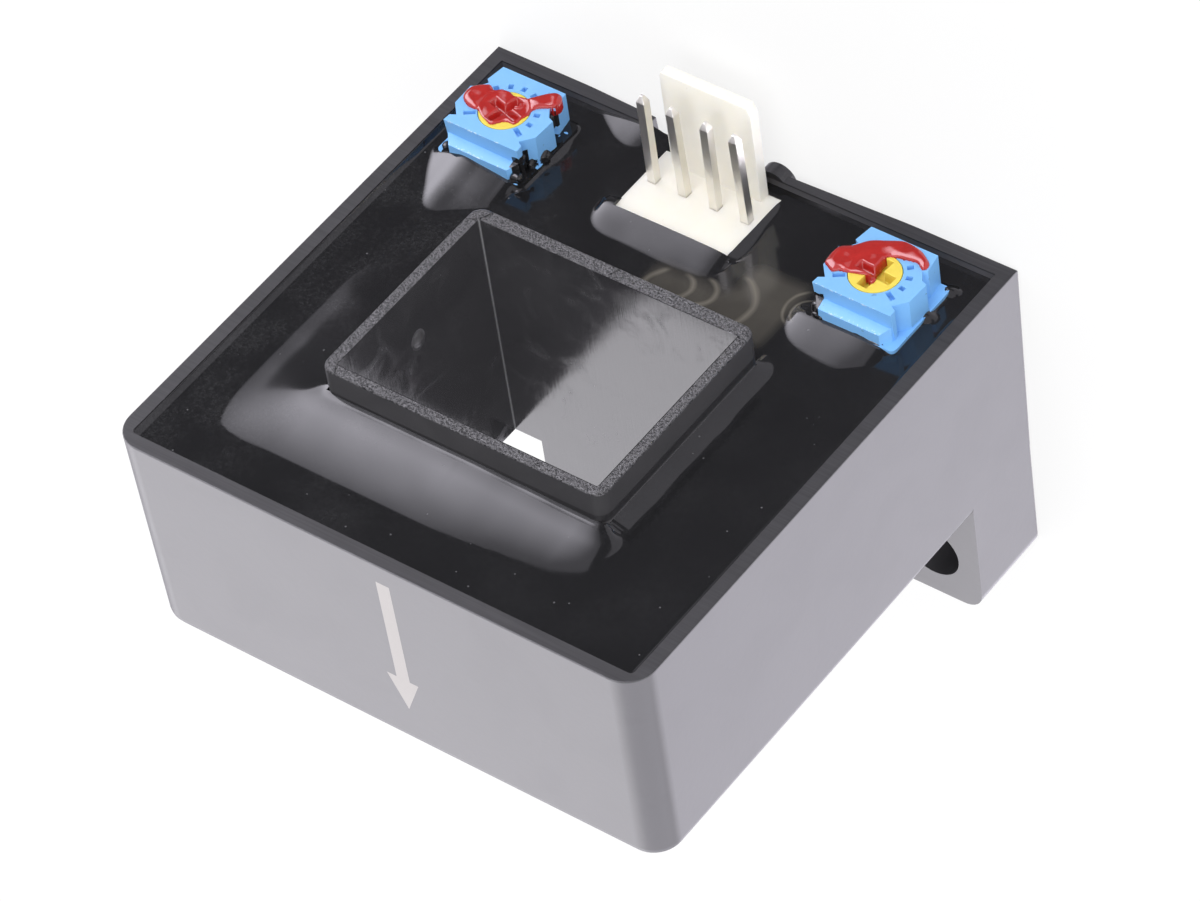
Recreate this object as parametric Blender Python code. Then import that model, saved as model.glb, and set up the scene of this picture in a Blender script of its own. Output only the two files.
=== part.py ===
"""Hall effect current sensor: a potted open-loop transducer that a busbar or cable passes through.

Blender 4.5, metres, +Z up. The sensor stands on its mounting base. +Y points out of the potted face,
where the connector is, and the two feet reach towards -Y. The origin is the centre of the base.
"""

import math

import bmesh
import bpy
from mathutils import Matrix, Vector

# Case
CASE_WIDTH = 0.0417
CASE_HEIGHT = 0.0413
CASE_DEPTH = 0.0173
CASE_DRAFT = 0.0003
RIM_WALL = 0.0010
CASE_FLOOR = 0.0015
INNER_DRAFT = 0.0004
CASE_CORNER_RADIUS = 0.0021
INNER_CORNER_RADIUS = 0.0012
FACE_FILLET = 0.0009

# Shrink hollow in the base wall, the connector notch in its rim, and the moulding stub
BASE_HOLLOW_DEPTH = 0.00055
BASE_HOLLOW_REACH = 0.0090
NOTCH_WIDTH = 0.0086
NOTCH_X = -0.0033
NOTCH_DEPTH = 0.0013
STUB_RADIUS = 0.00125
STUB_X = 0.0023

# Feet and the web between them
FOOT_THICKNESS = 0.0066
FOOT_REACH = 0.0092
FOOT_CORNER_RADIUS = 0.0015
FOOT_HOLE_RADIUS = 0.00215
FOOT_HOLE_INSET = 0.0041
FOOT_HOLE_REACH = 0.0053
WEB_WIDTH = 0.0162
WEB_ROOT_FILLET = 0.0009
WEB_SHELF = 0.0026
WEB_TOE = 0.0012

# Aperture and the collar round it
APERTURE_WIDTH = 0.0206
APERTURE_HEIGHT = 0.0149
APERTURE_ABOVE_MIDDLE = 0.0024
COLLAR_WALL = 0.00078
COLLAR_RISE = 0.00247
COLLAR_CORNER_RADIUS = 0.0009

# Ledges inside the case that carry the circuit board
LEDGE_WIDTH = 0.0016
LEDGE_REACH = 0.0012

# Potting
POTTING_DROP = 0.0006
MENISCUS_RISE = 0.00035
MENISCUS_WIDTH = 0.0012
COLLAR_MENISCUS_RISE = 0.0005
COLLAR_MENISCUS_WIDTH = 0.0014

# Magnetic core
CORE_LIMB = 0.0044
CORE_BOARD_CLEARANCE = 0.0013
CORE_AIR_GAP = 0.0024
CORE_CORNER_RADIUS = 0.0038

# Circuit board
BOARD_THICKNESS = 0.0016
BOARD_BELOW_RIM = 0.0036
BOARD_LOW_EDGE = 0.0020
BOARD_TUBE_CLEARANCE = 0.0009

# Hall element, an upright package in the core's air gap
HALL_THICKNESS = 0.0015
HALL_WIDTH = 0.0042
HALL_LENGTH = 0.0046
HALL_LEAD = 0.0004
HALL_LEAD_PITCH = 0.00127
HALL_LEAD_COUNT = 3
HALL_BELOW_LIMB_MIDDLE = 0.0004

# Connector
PIN_PITCH = 0.0025
PIN_COUNT = 4
PIN_WIDTH = 0.00064
PIN_TIP = 0.00085
PIN_TIP_WIDTH = 0.00032
PIN_STAND = 0.0072
PIN_TAIL = 0.0011
PIN_ROW_X = -0.00093
PIN_ROW_Z = 0.00456
PIN_LEANS = (0.0, -1.2, 0.4, -1.4)
HEADER_SIDE_MARGIN = 0.00089
HEADER_DEPTH = 0.0060
HEADER_BACK_Z = 0.00195
HEADER_BELOW_RIM = 0.0006
LOCK_WIDTH = 0.0072
LOCK_THICKNESS = 0.00085
LOCK_STAND = 0.0083
LOCK_RAMP_STAND = 0.0042
LOCK_RAMP_THICKNESS = 0.00015
LOCK_CORNER = 0.0006

# Trimmers, one for the offset and one for the gain
TRIMMER_INSETS = (0.00565, 0.0064)
TRIMMER_NAMES = ("left", "right")
TRIMMER_Z = 0.0064
TRIMMER_STAND = 0.0021
TRIMMER_BODY_HALF = 0.0034
TRIMMER_BACK_HALF = 0.00295
TRIMMER_BACK_REACH = 0.0032
TRIMMER_FRONT_REACH = 0.00265
TRIMMER_NOTCH = 0.00045
TRIMMER_BACK_CHAMFER = 0.00033
TRIMMER_LIP = 0.00055
TRIMMER_GROOVE = 0.00015
TRIMMER_SKIRT = 0.0024
TRIMMER_TAB = 0.0003
TRIMMER_TAB_OVERHANG = 0.0001
ROTOR_RADIUS = 0.00175
ROTOR_HEIGHT = 0.0013
ROTOR_SLOT_WIDTH = 0.00062
ROTOR_SLOT_LENGTH = 0.0030
ROTOR_SLOT_DEPTH = 0.0007
ROTOR_ANGLES = (-14.0, 5.0)
TICK_COUNT = 11
TICK_SPACING = 26.0
TICK_RING_RADIUS = 0.00238
TICK_LENGTH = 0.0005
TICK_END_LENGTH = 0.0009
TICK_WIDTH = 0.00032
TICK_DEPTH = 0.0003
TERMINAL_RADIUS = 0.00025
TERMINAL_TAIL = 0.0009
TERMINAL_INSET = 0.0010
TERMINAL_PITCH = 0.0021

# Sealing lacquer over the trimmers
LACQUER_THICKNESS = 0.0003

# Chips on the board
AMPLIFIER_SIZE = (0.0030, 0.0011, 0.0030)
AMPLIFIER_FROM_HEADER = 0.0004
AMPLIFIER_Z = 0.0062
AMPLIFIER_LEAD_PITCH = 0.00065
AMPLIFIER_LEAD_WIDTH = 0.0003
AMPLIFIER_LEAD_REACH = 0.0009
AMPLIFIER_LEADS_PER_SIDE = 4
RESISTOR_SIZE = (0.00125, 0.0006, 0.0020)
CAPACITOR_SIZE = (0.00125, 0.0008, 0.0020)
CHIP_FROM_HEADER = 0.0006
CHIP_FIRST_Z = 0.0034
CHIP_PITCH = 0.0026

# Gaps between pieces that touch
GAP = 0.0003
FINE_GAP = 0.00015

RIM_Y = (CASE_DEPTH + FOOT_REACH) / 2
FACE_Y = RIM_Y - CASE_DEPTH
FOOT_Y = -RIM_Y
FLOOR_Y = FACE_Y + CASE_FLOOR
BOARD_TOP_Y = RIM_Y - BOARD_BELOW_RIM
BOARD_LOW_Y = BOARD_TOP_Y - BOARD_THICKNESS
HEADER_TOP_Y = RIM_Y - HEADER_BELOW_RIM
TRIMMER_TOP_Y = RIM_Y + TRIMMER_STAND
INNER_HALF_WIDTH = CASE_WIDTH / 2 - RIM_WALL - INNER_DRAFT
APERTURE_Z = CASE_HEIGHT / 2 + APERTURE_ABOVE_MIDDLE
APERTURE_LOW_Z = APERTURE_Z - APERTURE_HEIGHT / 2
TUBE_HALF_WIDTH = APERTURE_WIDTH / 2 + COLLAR_WALL
TUBE_HALF_HEIGHT = APERTURE_HEIGHT / 2 + COLLAR_WALL
CORE_INNER_HALF_WIDTH = TUBE_HALF_WIDTH + GAP
CORE_INNER_HALF_HEIGHT = TUBE_HALF_HEIGHT + GAP
CORE_LOW_Z = APERTURE_Z - CORE_INNER_HALF_HEIGHT - CORE_LIMB
CORE_LOW_Y = FLOOR_Y + GAP
CORE_TOP_Y = BOARD_LOW_Y - CORE_BOARD_CLEARANCE
BOARD_HALF_WIDTH = INNER_HALF_WIDTH - GAP
BOARD_HIGH_EDGE = APERTURE_Z - TUBE_HALF_HEIGHT - BOARD_TUBE_CLEARANCE
HALL_Z = CORE_LOW_Z + CORE_LIMB / 2 - HALL_BELOW_LIMB_MIDDLE
HALL_LOW_Y = (CORE_LOW_Y + CORE_TOP_Y - HALL_LENGTH) / 2
HEADER_HALF_WIDTH = PIN_PITCH * (PIN_COUNT - 1) / 2 + HEADER_SIDE_MARGIN
TRIMMER_X = (TRIMMER_INSETS[0] - CASE_WIDTH / 2, CASE_WIDTH / 2 - TRIMMER_INSETS[1])
AMPLIFIER_X = PIN_ROW_X + HEADER_HALF_WIDTH + AMPLIFIER_FROM_HEADER + AMPLIFIER_SIZE[0] / 2
CHIP_X = PIN_ROW_X - HEADER_HALF_WIDTH - CHIP_FROM_HEADER - RESISTOR_SIZE[0] / 2
ROUND_SIDES = 32
SPLASH_SIDES = 18
SMALL_ROUND_SIDES = 10


for old in list(bpy.data.objects):
    bpy.data.objects.remove(old, do_unlink=True)

PARTS = bpy.data.collections.new("hall_effect_current_sensor")
TOOLS = bpy.data.collections.new("cutters")
bpy.context.scene.collection.children.link(PARTS)
bpy.context.scene.collection.children.link(TOOLS)
TOOLS.hide_render = True


def finish(name, colour, roughness, metallic=0.0):
    """A material of one colour, or the one that already has this name."""
    made = bpy.data.materials.get(name)
    if made is None:
        made = bpy.data.materials.new(name)
        made.use_nodes = True
        shader = made.node_tree.nodes["Principled BSDF"]
        shader.inputs["Base Color"].default_value = (*colour, 1.0)
        shader.inputs["Roughness"].default_value = roughness
        shader.inputs["Metallic"].default_value = metallic
    return made


def part(name, bm, material):
    """Adds the mesh to the part's collection as a piece with its own material."""
    mesh = bpy.data.meshes.new(name)
    bm.to_mesh(mesh)
    bm.free()
    mesh.materials.append(material)
    made = bpy.data.objects.new(name, mesh)
    PARTS.objects.link(made)
    return made


def tool(name, bm):
    """Adds the mesh as a hidden tool that a Boolean cuts, joins or trims with."""
    mesh = bpy.data.meshes.new(name)
    bm.to_mesh(mesh)
    bm.free()
    made = bpy.data.objects.new(name, mesh)
    made.hide_render = True
    made.display_type = "WIRE"
    TOOLS.objects.link(made)
    return made


def boolean(target, other, operation):
    modifier = target.modifiers.new(other.name, "BOOLEAN")
    modifier.operation = operation
    modifier.solver = "EXACT"
    modifier.object = other


def cut(target, *others):
    for other in others:
        boolean(target, other, "DIFFERENCE")


def join(target, *others):
    for other in others:
        boolean(target, other, "UNION")


def block(low, high):
    """A box between two corners."""
    bm = bmesh.new()
    bmesh.ops.create_cube(bm, size=1.0)
    low, high = Vector(low), Vector(high)
    size = high - low
    bmesh.ops.scale(bm, vec=size, verts=bm.verts)
    bmesh.ops.translate(bm, vec=(low + high) / 2, verts=bm.verts)
    return bm


def round_edges_along(bm, axis, radius, segments, wanted=lambda co: True):
    """Rounds the edges that run along one axis."""
    edges = []
    for edge in bm.edges:
        run = edge.verts[1].co - edge.verts[0].co
        if abs(run[axis]) > 0.9 * run.length and all(wanted(vert.co) for vert in edge.verts):
            edges.append(edge)
    bmesh.ops.bevel(
        bm, geom=edges, offset=radius, offset_type="OFFSET", segments=segments, profile=0.5, affect="EDGES"
    )


def cylinder(centre, axis, radius, length, sides=ROUND_SIDES):
    """A closed cylinder centred on a point, along Y or Z."""
    bm = bmesh.new()
    bmesh.ops.create_cone(
        bm, cap_ends=True, segments=sides, radius1=radius, radius2=radius, depth=length
    )
    along = {"Y": (0, 1, 0), "Z": (0, 0, 1)}[axis]
    turn = Vector((0, 0, 1)).rotation_difference(Vector(along)).to_matrix().to_4x4()
    bmesh.ops.transform(bm, matrix=Matrix.Translation(centre) @ turn, verts=bm.verts)
    return bm


def outline_prism(points, low, high, axis):
    """A flat outline given thickness from low to high along one axis.

    The outline is (x, y) for axis Z, (x, z) for axis Y and (y, z) for axis X.
    """
    curve = bpy.data.curves.new("outline", "CURVE")
    curve.dimensions = "2D"
    curve.fill_mode = "BOTH"
    curve.extrude = (high - low) / 2
    spline = curve.splines.new("POLY")
    spline.points.add(len(points) - 1)
    for place, (u, v) in zip(spline.points, points):
        place.co = (u, v, 0.0, 1.0)
    spline.use_cyclic_u = True
    holder = bpy.data.objects.new("outline", curve)
    bpy.context.scene.collection.objects.link(holder)
    bpy.context.view_layer.update()
    mesh = bpy.data.meshes.new_from_object(holder)
    bm = bmesh.new()
    bm.from_mesh(mesh)
    bpy.data.objects.remove(holder, do_unlink=True)
    bpy.data.curves.remove(curve)
    bpy.data.meshes.remove(mesh)
    bmesh.ops.remove_doubles(bm, verts=bm.verts, dist=0.000001)
    stand = {
        "Z": Matrix(),
        "Y": Matrix(((1, 0, 0, 0), (0, 0, -1, 0), (0, 1, 0, 0), (0, 0, 0, 1))),
        "X": Matrix(((0, 0, 1, 0), (1, 0, 0, 0), (0, 1, 0, 0), (0, 0, 0, 1))),
    }[axis]
    middle = {"Z": (0, 0, 1), "Y": (0, 1, 0), "X": (1, 0, 0)}[axis]
    shift = Matrix.Translation(Vector(middle) * (low + high) / 2)
    bmesh.ops.transform(bm, matrix=shift @ stand, verts=bm.verts)
    bmesh.ops.recalc_face_normals(bm, faces=bm.faces)
    return bm


def arc(centre, radius, start, end, steps):
    """Points along an arc, angles in degrees."""
    angles = [math.radians(start + (end - start) * i / steps) for i in range(steps + 1)]
    return [(centre[0] + radius * math.cos(a), centre[1] + radius * math.sin(a)) for a in angles]


def smooth(target, angle=30.0):
    """Shades a round piece smooth and keeps its sharp edges."""
    target.data.shade_smooth()
    target.data.set_sharp_from_angle(angle=math.radians(angle))


def case_block():
    """The outer block: its side and top walls lean in towards the face, and its upper corners are round."""
    half = CASE_WIDTH / 2
    bm = block((-half, FACE_Y, 0.0), (half, RIM_Y, CASE_HEIGHT))
    middle_y = (FACE_Y + RIM_Y) / 2
    for vert in bm.verts:
        if vert.co.y < middle_y:
            vert.co.x -= math.copysign(CASE_DRAFT, vert.co.x)
            if vert.co.z > 0.0:
                vert.co.z -= CASE_DRAFT
    upper = lambda co: co.z > CASE_HEIGHT / 2
    round_edges_along(bm, 1, CASE_CORNER_RADIUS, 5, upper)
    on_face = lambda co: abs(co.y - FACE_Y) < GAP / 10
    face_edges = [
        edge
        for edge in bm.edges
        if all(on_face(vert.co) for vert in edge.verts) and max(vert.co.z for vert in edge.verts) > GAP
    ]
    bmesh.ops.bevel(
        bm, geom=face_edges, offset=FACE_FILLET, offset_type="OFFSET", segments=3, profile=0.5, affect="EDGES"
    )
    return bm


def case_cavity():
    """The room inside the walls, open at the rim and a little smaller at the floor."""
    half = CASE_WIDTH / 2 - RIM_WALL
    bm = block((-half, FLOOR_Y, RIM_WALL), (half, RIM_Y + RIM_WALL, CASE_HEIGHT - RIM_WALL))
    for vert in bm.verts:
        if vert.co.y < RIM_Y:
            vert.co.x -= math.copysign(INNER_DRAFT, vert.co.x)
            vert.co.z += math.copysign(INNER_DRAFT, CASE_HEIGHT / 2 - vert.co.z)
    round_edges_along(bm, 1, INNER_CORNER_RADIUS, 3, lambda co: co.z > CASE_HEIGHT / 2)
    return bm


def foot_block():
    """The flange along the base, with its two outer corners rounded."""
    half = CASE_WIDTH / 2 - CASE_DRAFT
    bm = block((-half, FOOT_Y, 0.0), (half, FLOOR_Y - GAP, FOOT_THICKNESS))
    round_edges_along(bm, 2, FOOT_CORNER_RADIUS, 4, lambda co: co.y < FOOT_Y + GAP)
    return bm


def web_plan():
    """Plan of the web: straight sides that flare into the face with a fillet."""
    half = WEB_WIDTH / 2
    fillet = WEB_ROOT_FILLET
    inside = FLOOR_Y - GAP
    right = arc((half + fillet, FACE_Y - fillet), fillet, 90.0, 180.0, 4)
    left = [(-x, y) for x, y in reversed(right)]
    return [(half + fillet, inside), *right, (half, FOOT_Y + WEB_TOE), (-half, FOOT_Y + WEB_TOE), *left,
            (-half - fillet, inside)]


def web_profile():
    """Side of the web: level with the aperture's lower wall, then sloping down to the foot."""
    low = FOOT_THICKNESS / 2
    return [
        (FLOOR_Y - GAP, low),
        (FLOOR_Y - GAP, APERTURE_LOW_Z),
        (FACE_Y - WEB_SHELF, APERTURE_LOW_Z),
        (FOOT_Y + WEB_TOE, FOOT_THICKNESS),
        (FOOT_Y + WEB_TOE, low),
    ]


def base_hollow():
    """The shallow pyramid that shrinkage draws out of the base wall, deepest at the middle of the rim."""
    bm = bmesh.new()
    beyond = 0.001
    deep = BASE_HOLLOW_DEPTH * (BASE_HOLLOW_REACH + beyond) / BASE_HOLLOW_REACH
    half = CASE_WIDTH / 2 * (BASE_HOLLOW_REACH + beyond) / BASE_HOLLOW_REACH
    outer_y = RIM_Y + beyond
    inner_y = RIM_Y - BASE_HOLLOW_REACH
    below = -0.002
    corners = [(-half, outer_y, below), (half, outer_y, below), (half, outer_y, 0.0), (0.0, outer_y, deep),
               (-half, outer_y, 0.0), (0.0, inner_y, below), (0.0, inner_y, 0.0)]
    for corner in corners:
        bm.verts.new(corner)
    bmesh.ops.convex_hull(bm, input=bm.verts)
    bmesh.ops.recalc_face_normals(bm, faces=bm.faces)
    return bm


def tube_block(grow=0.0, low_y=FLOOR_Y - GAP, high_y=RIM_Y + COLLAR_RISE):
    """The rectangular tube round the aperture, solid."""
    half_x = TUBE_HALF_WIDTH + grow
    half_z = TUBE_HALF_HEIGHT + grow
    bm = block((-half_x, low_y, APERTURE_Z - half_z), (half_x, high_y, APERTURE_Z + half_z))
    round_edges_along(bm, 1, COLLAR_CORNER_RADIUS + grow, 3)
    return bm


def ledge_places():
    """Middle height of each ledge, two on each side wall."""
    return [BOARD_LOW_EDGE + LEDGE_WIDTH, BOARD_HIGH_EDGE - LEDGE_WIDTH]


def ledge(side, height, grow=0.0):
    """One ledge, from the case floor up to the board."""
    wall = CASE_WIDTH / 2 - RIM_WALL / 2
    inner = INNER_HALF_WIDTH - LEDGE_REACH - grow
    xs = sorted((side * wall, side * inner))
    return block(
        (xs[0], FLOOR_Y - GAP, height - LEDGE_WIDTH / 2 - grow),
        (xs[1], BOARD_LOW_Y - GAP + grow, height + LEDGE_WIDTH / 2 + grow),
    )


def build_case():
    black = finish("case_black", (0.045, 0.045, 0.048), 0.42)
    case = part("case", case_block(), black)
    join(case, tool("foot_flange", foot_block()))
    web = tool("web", outline_prism(web_plan(), 0.0, APERTURE_LOW_Z, "Z"))
    wide = WEB_WIDTH / 2 + 2 * WEB_ROOT_FILLET
    boolean(web, tool("web_side", outline_prism(web_profile(), -wide, wide, "X")), "INTERSECT")
    join(case, web)
    cut(case, tool("cavity", case_cavity()))
    for side in (-1, 1):
        for number, height in enumerate(ledge_places()):
            join(case, tool(f"ledge_{side}_{number}", ledge(side, height)))
    join(case, tool("aperture_tube", tube_block()))
    half = APERTURE_WIDTH / 2
    top = APERTURE_LOW_Z + APERTURE_HEIGHT
    beyond = FOOT_REACH + RIM_WALL
    cut(case, tool("aperture", block((-half, FACE_Y - beyond, APERTURE_LOW_Z), (half, RIM_Y + beyond, top))))
    cut(case, tool("base_hollow", base_hollow()))
    notch_low = (NOTCH_X - NOTCH_WIDTH / 2, RIM_Y - NOTCH_DEPTH, -RIM_WALL)
    cut(case, tool("notch", block(notch_low, (NOTCH_X + NOTCH_WIDTH / 2, RIM_Y + RIM_WALL, 2 * RIM_WALL))))
    stub_y = RIM_Y - STUB_RADIUS - GAP
    stub = cylinder((STUB_X, stub_y, RIM_WALL / 2), "Z", STUB_RADIUS, RIM_WALL)
    join(case, tool("stub", stub))
    for side in (-1, 1):
        hole_x = side * (CASE_WIDTH / 2 - FOOT_HOLE_INSET)
        place = (hole_x, FACE_Y - FOOT_HOLE_REACH, FOOT_THICKNESS / 2)
        hole = cylinder(place, "Z", FOOT_HOLE_RADIUS, FOOT_THICKNESS + 2 * RIM_WALL)
        cut(case, tool(f"foot_hole_{side}", hole))
    smooth(case)
    return case


def potting_block():
    """The poured block, a gap inside the walls, its top drawn up a little along them."""
    half = CASE_WIDTH / 2 - RIM_WALL - GAP
    low_z = RIM_WALL + GAP
    high_z = CASE_HEIGHT - RIM_WALL - GAP
    top_y = RIM_Y - POTTING_DROP + MENISCUS_RISE
    bm = block((-half, FLOOR_Y + GAP, low_z), (half, top_y, high_z))
    for vert in bm.verts:
        if vert.co.y < RIM_Y - CASE_DEPTH / 2:
            vert.co.x -= math.copysign(INNER_DRAFT, vert.co.x)
            vert.co.z += math.copysign(INNER_DRAFT, CASE_HEIGHT / 2 - vert.co.z)
    round_edges_along(bm, 1, INNER_CORNER_RADIUS, 3, lambda co: co.z > CASE_HEIGHT / 2)
    top = [face for face in bm.faces if face.normal.y > 0.9]
    bmesh.ops.inset_region(
        bm, faces=top, thickness=MENISCUS_WIDTH, depth=-MENISCUS_RISE, use_even_offset=True
    )
    return bm


def collar_meniscus():
    """The tapered bank of potting that climbs the collar."""
    wide = COLLAR_MENISCUS_WIDTH
    foot_y = RIM_Y - POTTING_DROP
    low = foot_y - COLLAR_MENISCUS_RISE
    bm = tube_block(grow=GAP + wide, low_y=low, high_y=foot_y)
    top = [face for face in bm.faces if face.normal.y > 0.9]
    bmesh.ops.inset_region(
        bm, faces=top, thickness=wide * 0.8, depth=COLLAR_MENISCUS_RISE, use_even_offset=True
    )
    return bm


def core_outline(inner, grow):
    """The core's outer or inner rectangle with round corners, as a solid block grown by a gap."""
    limb = 0.0 if inner else CORE_LIMB
    half_x = CORE_INNER_HALF_WIDTH + limb + grow
    half_z = CORE_INNER_HALF_HEIGHT + limb + grow
    radius = (GAP if inner else CORE_CORNER_RADIUS) + max(grow, 0.0)
    return half_x, half_z, radius


def core_block(inner, grow, low_y, high_y):
    half_x, half_z, radius = core_outline(inner, grow)
    bm = block((-half_x, low_y, APERTURE_Z - half_z), (half_x, high_y, APERTURE_Z + half_z))
    round_edges_along(bm, 1, radius, 4)
    return bm


def board_block(grow=0.0):
    half = BOARD_HALF_WIDTH + grow
    low_z = BOARD_LOW_EDGE - grow
    return block((-half, BOARD_LOW_Y - grow, low_z), (half, BOARD_TOP_Y + grow, BOARD_HIGH_EDGE + grow))


def header_block(grow=0.0, top_y=HEADER_TOP_Y):
    half = HEADER_HALF_WIDTH + grow
    return block(
        (PIN_ROW_X - half, BOARD_TOP_Y + GAP - grow, HEADER_BACK_Z - grow),
        (PIN_ROW_X + half, top_y, HEADER_BACK_Z + HEADER_DEPTH + grow),
    )


def trimmer_box(x, low_y, top_y, grow=0.0):
    """A box as wide as a trimmer's base tab: the tab itself, or the room for the trimmer in the potting."""
    half_x = TRIMMER_BODY_HALF + TRIMMER_TAB_OVERHANG + grow
    back_z = TRIMMER_Z - TRIMMER_BACK_REACH - TRIMMER_TAB_OVERHANG - grow
    front_z = TRIMMER_Z + TRIMMER_FRONT_REACH + TRIMMER_LIP + TRIMMER_TAB_OVERHANG + grow
    return block((x - half_x, low_y, back_z), (x + half_x, top_y, front_z))


def hall_box(grow=0.0, high_y=None):
    """A box round the Hall element, or round it and its leads."""
    high_y = HALL_LOW_Y + HALL_LENGTH if high_y is None else high_y
    return block(
        (-HALL_THICKNESS / 2 - grow, HALL_LOW_Y - grow, HALL_Z - HALL_WIDTH / 2 - grow),
        (HALL_THICKNESS / 2 + grow, high_y, HALL_Z + HALL_WIDTH / 2 + grow),
    )


def chip_box(x, z, size, underside=False, grow=0.0):
    """A box on the board's top face or under it, as large as a chip or as the room it takes."""
    low_y = BOARD_LOW_Y - GAP - size[1] if underside else BOARD_TOP_Y + GAP
    return block(
        (x - size[0] / 2 - grow, low_y - grow, z - size[2] / 2 - grow),
        (x + size[0] / 2 + grow, low_y + size[1] + grow, z + size[2] / 2 + grow),
    )


def chip_places():
    """Resistors and capacitors in a row up each face of the board: name, height, size, underside."""
    names = ("chip_resistor_1", "chip_resistor_2", "chip_capacitor_1",
             "chip_resistor_3", "chip_resistor_4", "chip_capacitor_2")
    per_face = len(names) // 2
    return [
        (name, CHIP_FIRST_Z + CHIP_PITCH * (i % per_face),
         CAPACITOR_SIZE if "capacitor" in name else RESISTOR_SIZE, i >= per_face)
        for i, name in enumerate(names)
    ]


def tail_places():
    """Where a lead comes through the board: place, and the tail's length below it."""
    pins = [(x, PIN_ROW_Z, PIN_TAIL) for x in pin_places()]
    terminals = [(x, z, TERMINAL_TAIL) for trimmer_x in TRIMMER_X for x, z in terminal_places(trimmer_x)]
    return pins + terminals


def build_potting():
    black = finish("potting_black", (0.012, 0.012, 0.013), 0.12)
    potting = part("potting_compound", potting_block(), black)
    join(potting, tool("collar_bank", collar_meniscus()))
    beyond = RIM_Y + COLLAR_RISE + GAP
    cut(potting, tool("tube_room", tube_block(grow=GAP, low_y=FLOOR_Y - GAP, high_y=beyond)))
    core_room = tool("core_room", core_block(False, GAP, FLOOR_Y - GAP, CORE_TOP_Y + GAP))
    cut(potting, core_room)
    cut(potting, tool("board_room", board_block(GAP)))
    cut(potting, tool("hall_room", hall_box(GAP, BOARD_LOW_Y)))
    for side in (-1, 1):
        for number, height in enumerate(ledge_places()):
            cut(potting, tool(f"ledge_room_{side}_{number}", ledge(side, height, GAP)))
    cut(potting, tool("header_room", header_block(GAP, RIM_Y + GAP)))
    for name, x in zip(TRIMMER_NAMES, TRIMMER_X):
        room = trimmer_box(x, BOARD_TOP_Y, RIM_Y + GAP, GAP)
        cut(potting, tool(f"trimmer_room_{name}", room))
    amplifier_room = (AMPLIFIER_SIZE[0], AMPLIFIER_SIZE[1], AMPLIFIER_SIZE[2] + 2 * AMPLIFIER_LEAD_REACH)
    cut(potting, tool("amplifier_room", chip_box(AMPLIFIER_X, AMPLIFIER_Z, amplifier_room, grow=GAP)))
    for name, z, size, underside in chip_places():
        cut(potting, tool(f"room_{name}", chip_box(CHIP_X, z, size, underside, GAP)))
    wide = PIN_WIDTH / 2 + GAP
    for number, (x, z, tail) in enumerate(tail_places()):
        room = block((x - wide, BOARD_LOW_Y - tail - GAP, z - wide), (x + wide, BOARD_LOW_Y, z + wide))
        cut(potting, tool(f"tail_room_{number}", room))
    smooth(potting)
    return potting


def build_core():
    steel = finish("core_steel", (0.36, 0.37, 0.39), 0.35, 1.0)
    core = part("magnetic_core", core_block(False, 0.0, CORE_LOW_Y, CORE_TOP_Y), steel)
    cut(core, tool("core_window", core_block(True, 0.0, FLOOR_Y - GAP, CORE_TOP_Y + GAP)))
    half = CORE_AIR_GAP / 2
    low = (-half, FLOOR_Y - GAP, CORE_LOW_Z - GAP)
    cut(core, tool("air_gap", block(low, (half, CORE_TOP_Y + GAP, CORE_LOW_Z + CORE_LIMB + GAP))))
    smooth(core)
    return core


def hall_lead_places():
    return [HALL_Z + HALL_LEAD_PITCH * (i - (HALL_LEAD_COUNT - 1) / 2) for i in range(HALL_LEAD_COUNT)]


def build_hall_element():
    black = finish("package_black", (0.03, 0.03, 0.03), 0.5)
    body = hall_box()
    round_edges_along(body, 1, HALL_THICKNESS / 5, 1)
    element = part("hall_element", body, black)
    half = HALL_LEAD / 2
    for number, z in enumerate(hall_lead_places()):
        low = (-half, HALL_LOW_Y + HALL_LENGTH / 2, z - half)
        join(element, tool(f"hall_lead_{number}", block(low, (half, BOARD_TOP_Y + GAP, z + half))))
    return element


def build_board():
    green = finish("board_green", (0.02, 0.16, 0.07), 0.35)
    board = part("circuit_board", board_block(), green)
    middle_y = BOARD_LOW_Y + BOARD_THICKNESS / 2
    long = 2 * BOARD_THICKNESS
    diagonal = math.sqrt(2)
    holes = [(0.0, z, HALL_LEAD / 2 * diagonal) for z in hall_lead_places()]
    holes += [(x, PIN_ROW_Z, PIN_WIDTH / 2 * diagonal) for x in pin_places()]
    holes += [(x, z, TERMINAL_RADIUS) for trimmer_x in TRIMMER_X for x, z in terminal_places(trimmer_x)]
    for number, (x, z, radius) in enumerate(holes):
        hole = cylinder((x, middle_y, z), "Y", radius + FINE_GAP, long, SMALL_ROUND_SIDES)
        cut(board, tool(f"board_hole_{number}", hole))
    return board


def lock_wall():
    """The friction lock behind the pins: a thin wall, thicker below its ramp, its two top corners cut."""
    half = LOCK_WIDTH / 2
    top = HEADER_TOP_Y + LOCK_STAND
    corner = LOCK_CORNER
    low = HEADER_TOP_Y - GAP
    outline = [
        (PIN_ROW_X - half, low), (PIN_ROW_X + half, low),
        (PIN_ROW_X + half, top - 2 * corner), (PIN_ROW_X + half - corner, top),
        (PIN_ROW_X - half + corner, top), (PIN_ROW_X - half, top - 2 * corner),
    ]
    return outline_prism(outline, HEADER_BACK_Z, HEADER_BACK_Z + LOCK_THICKNESS, "Z")


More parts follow.
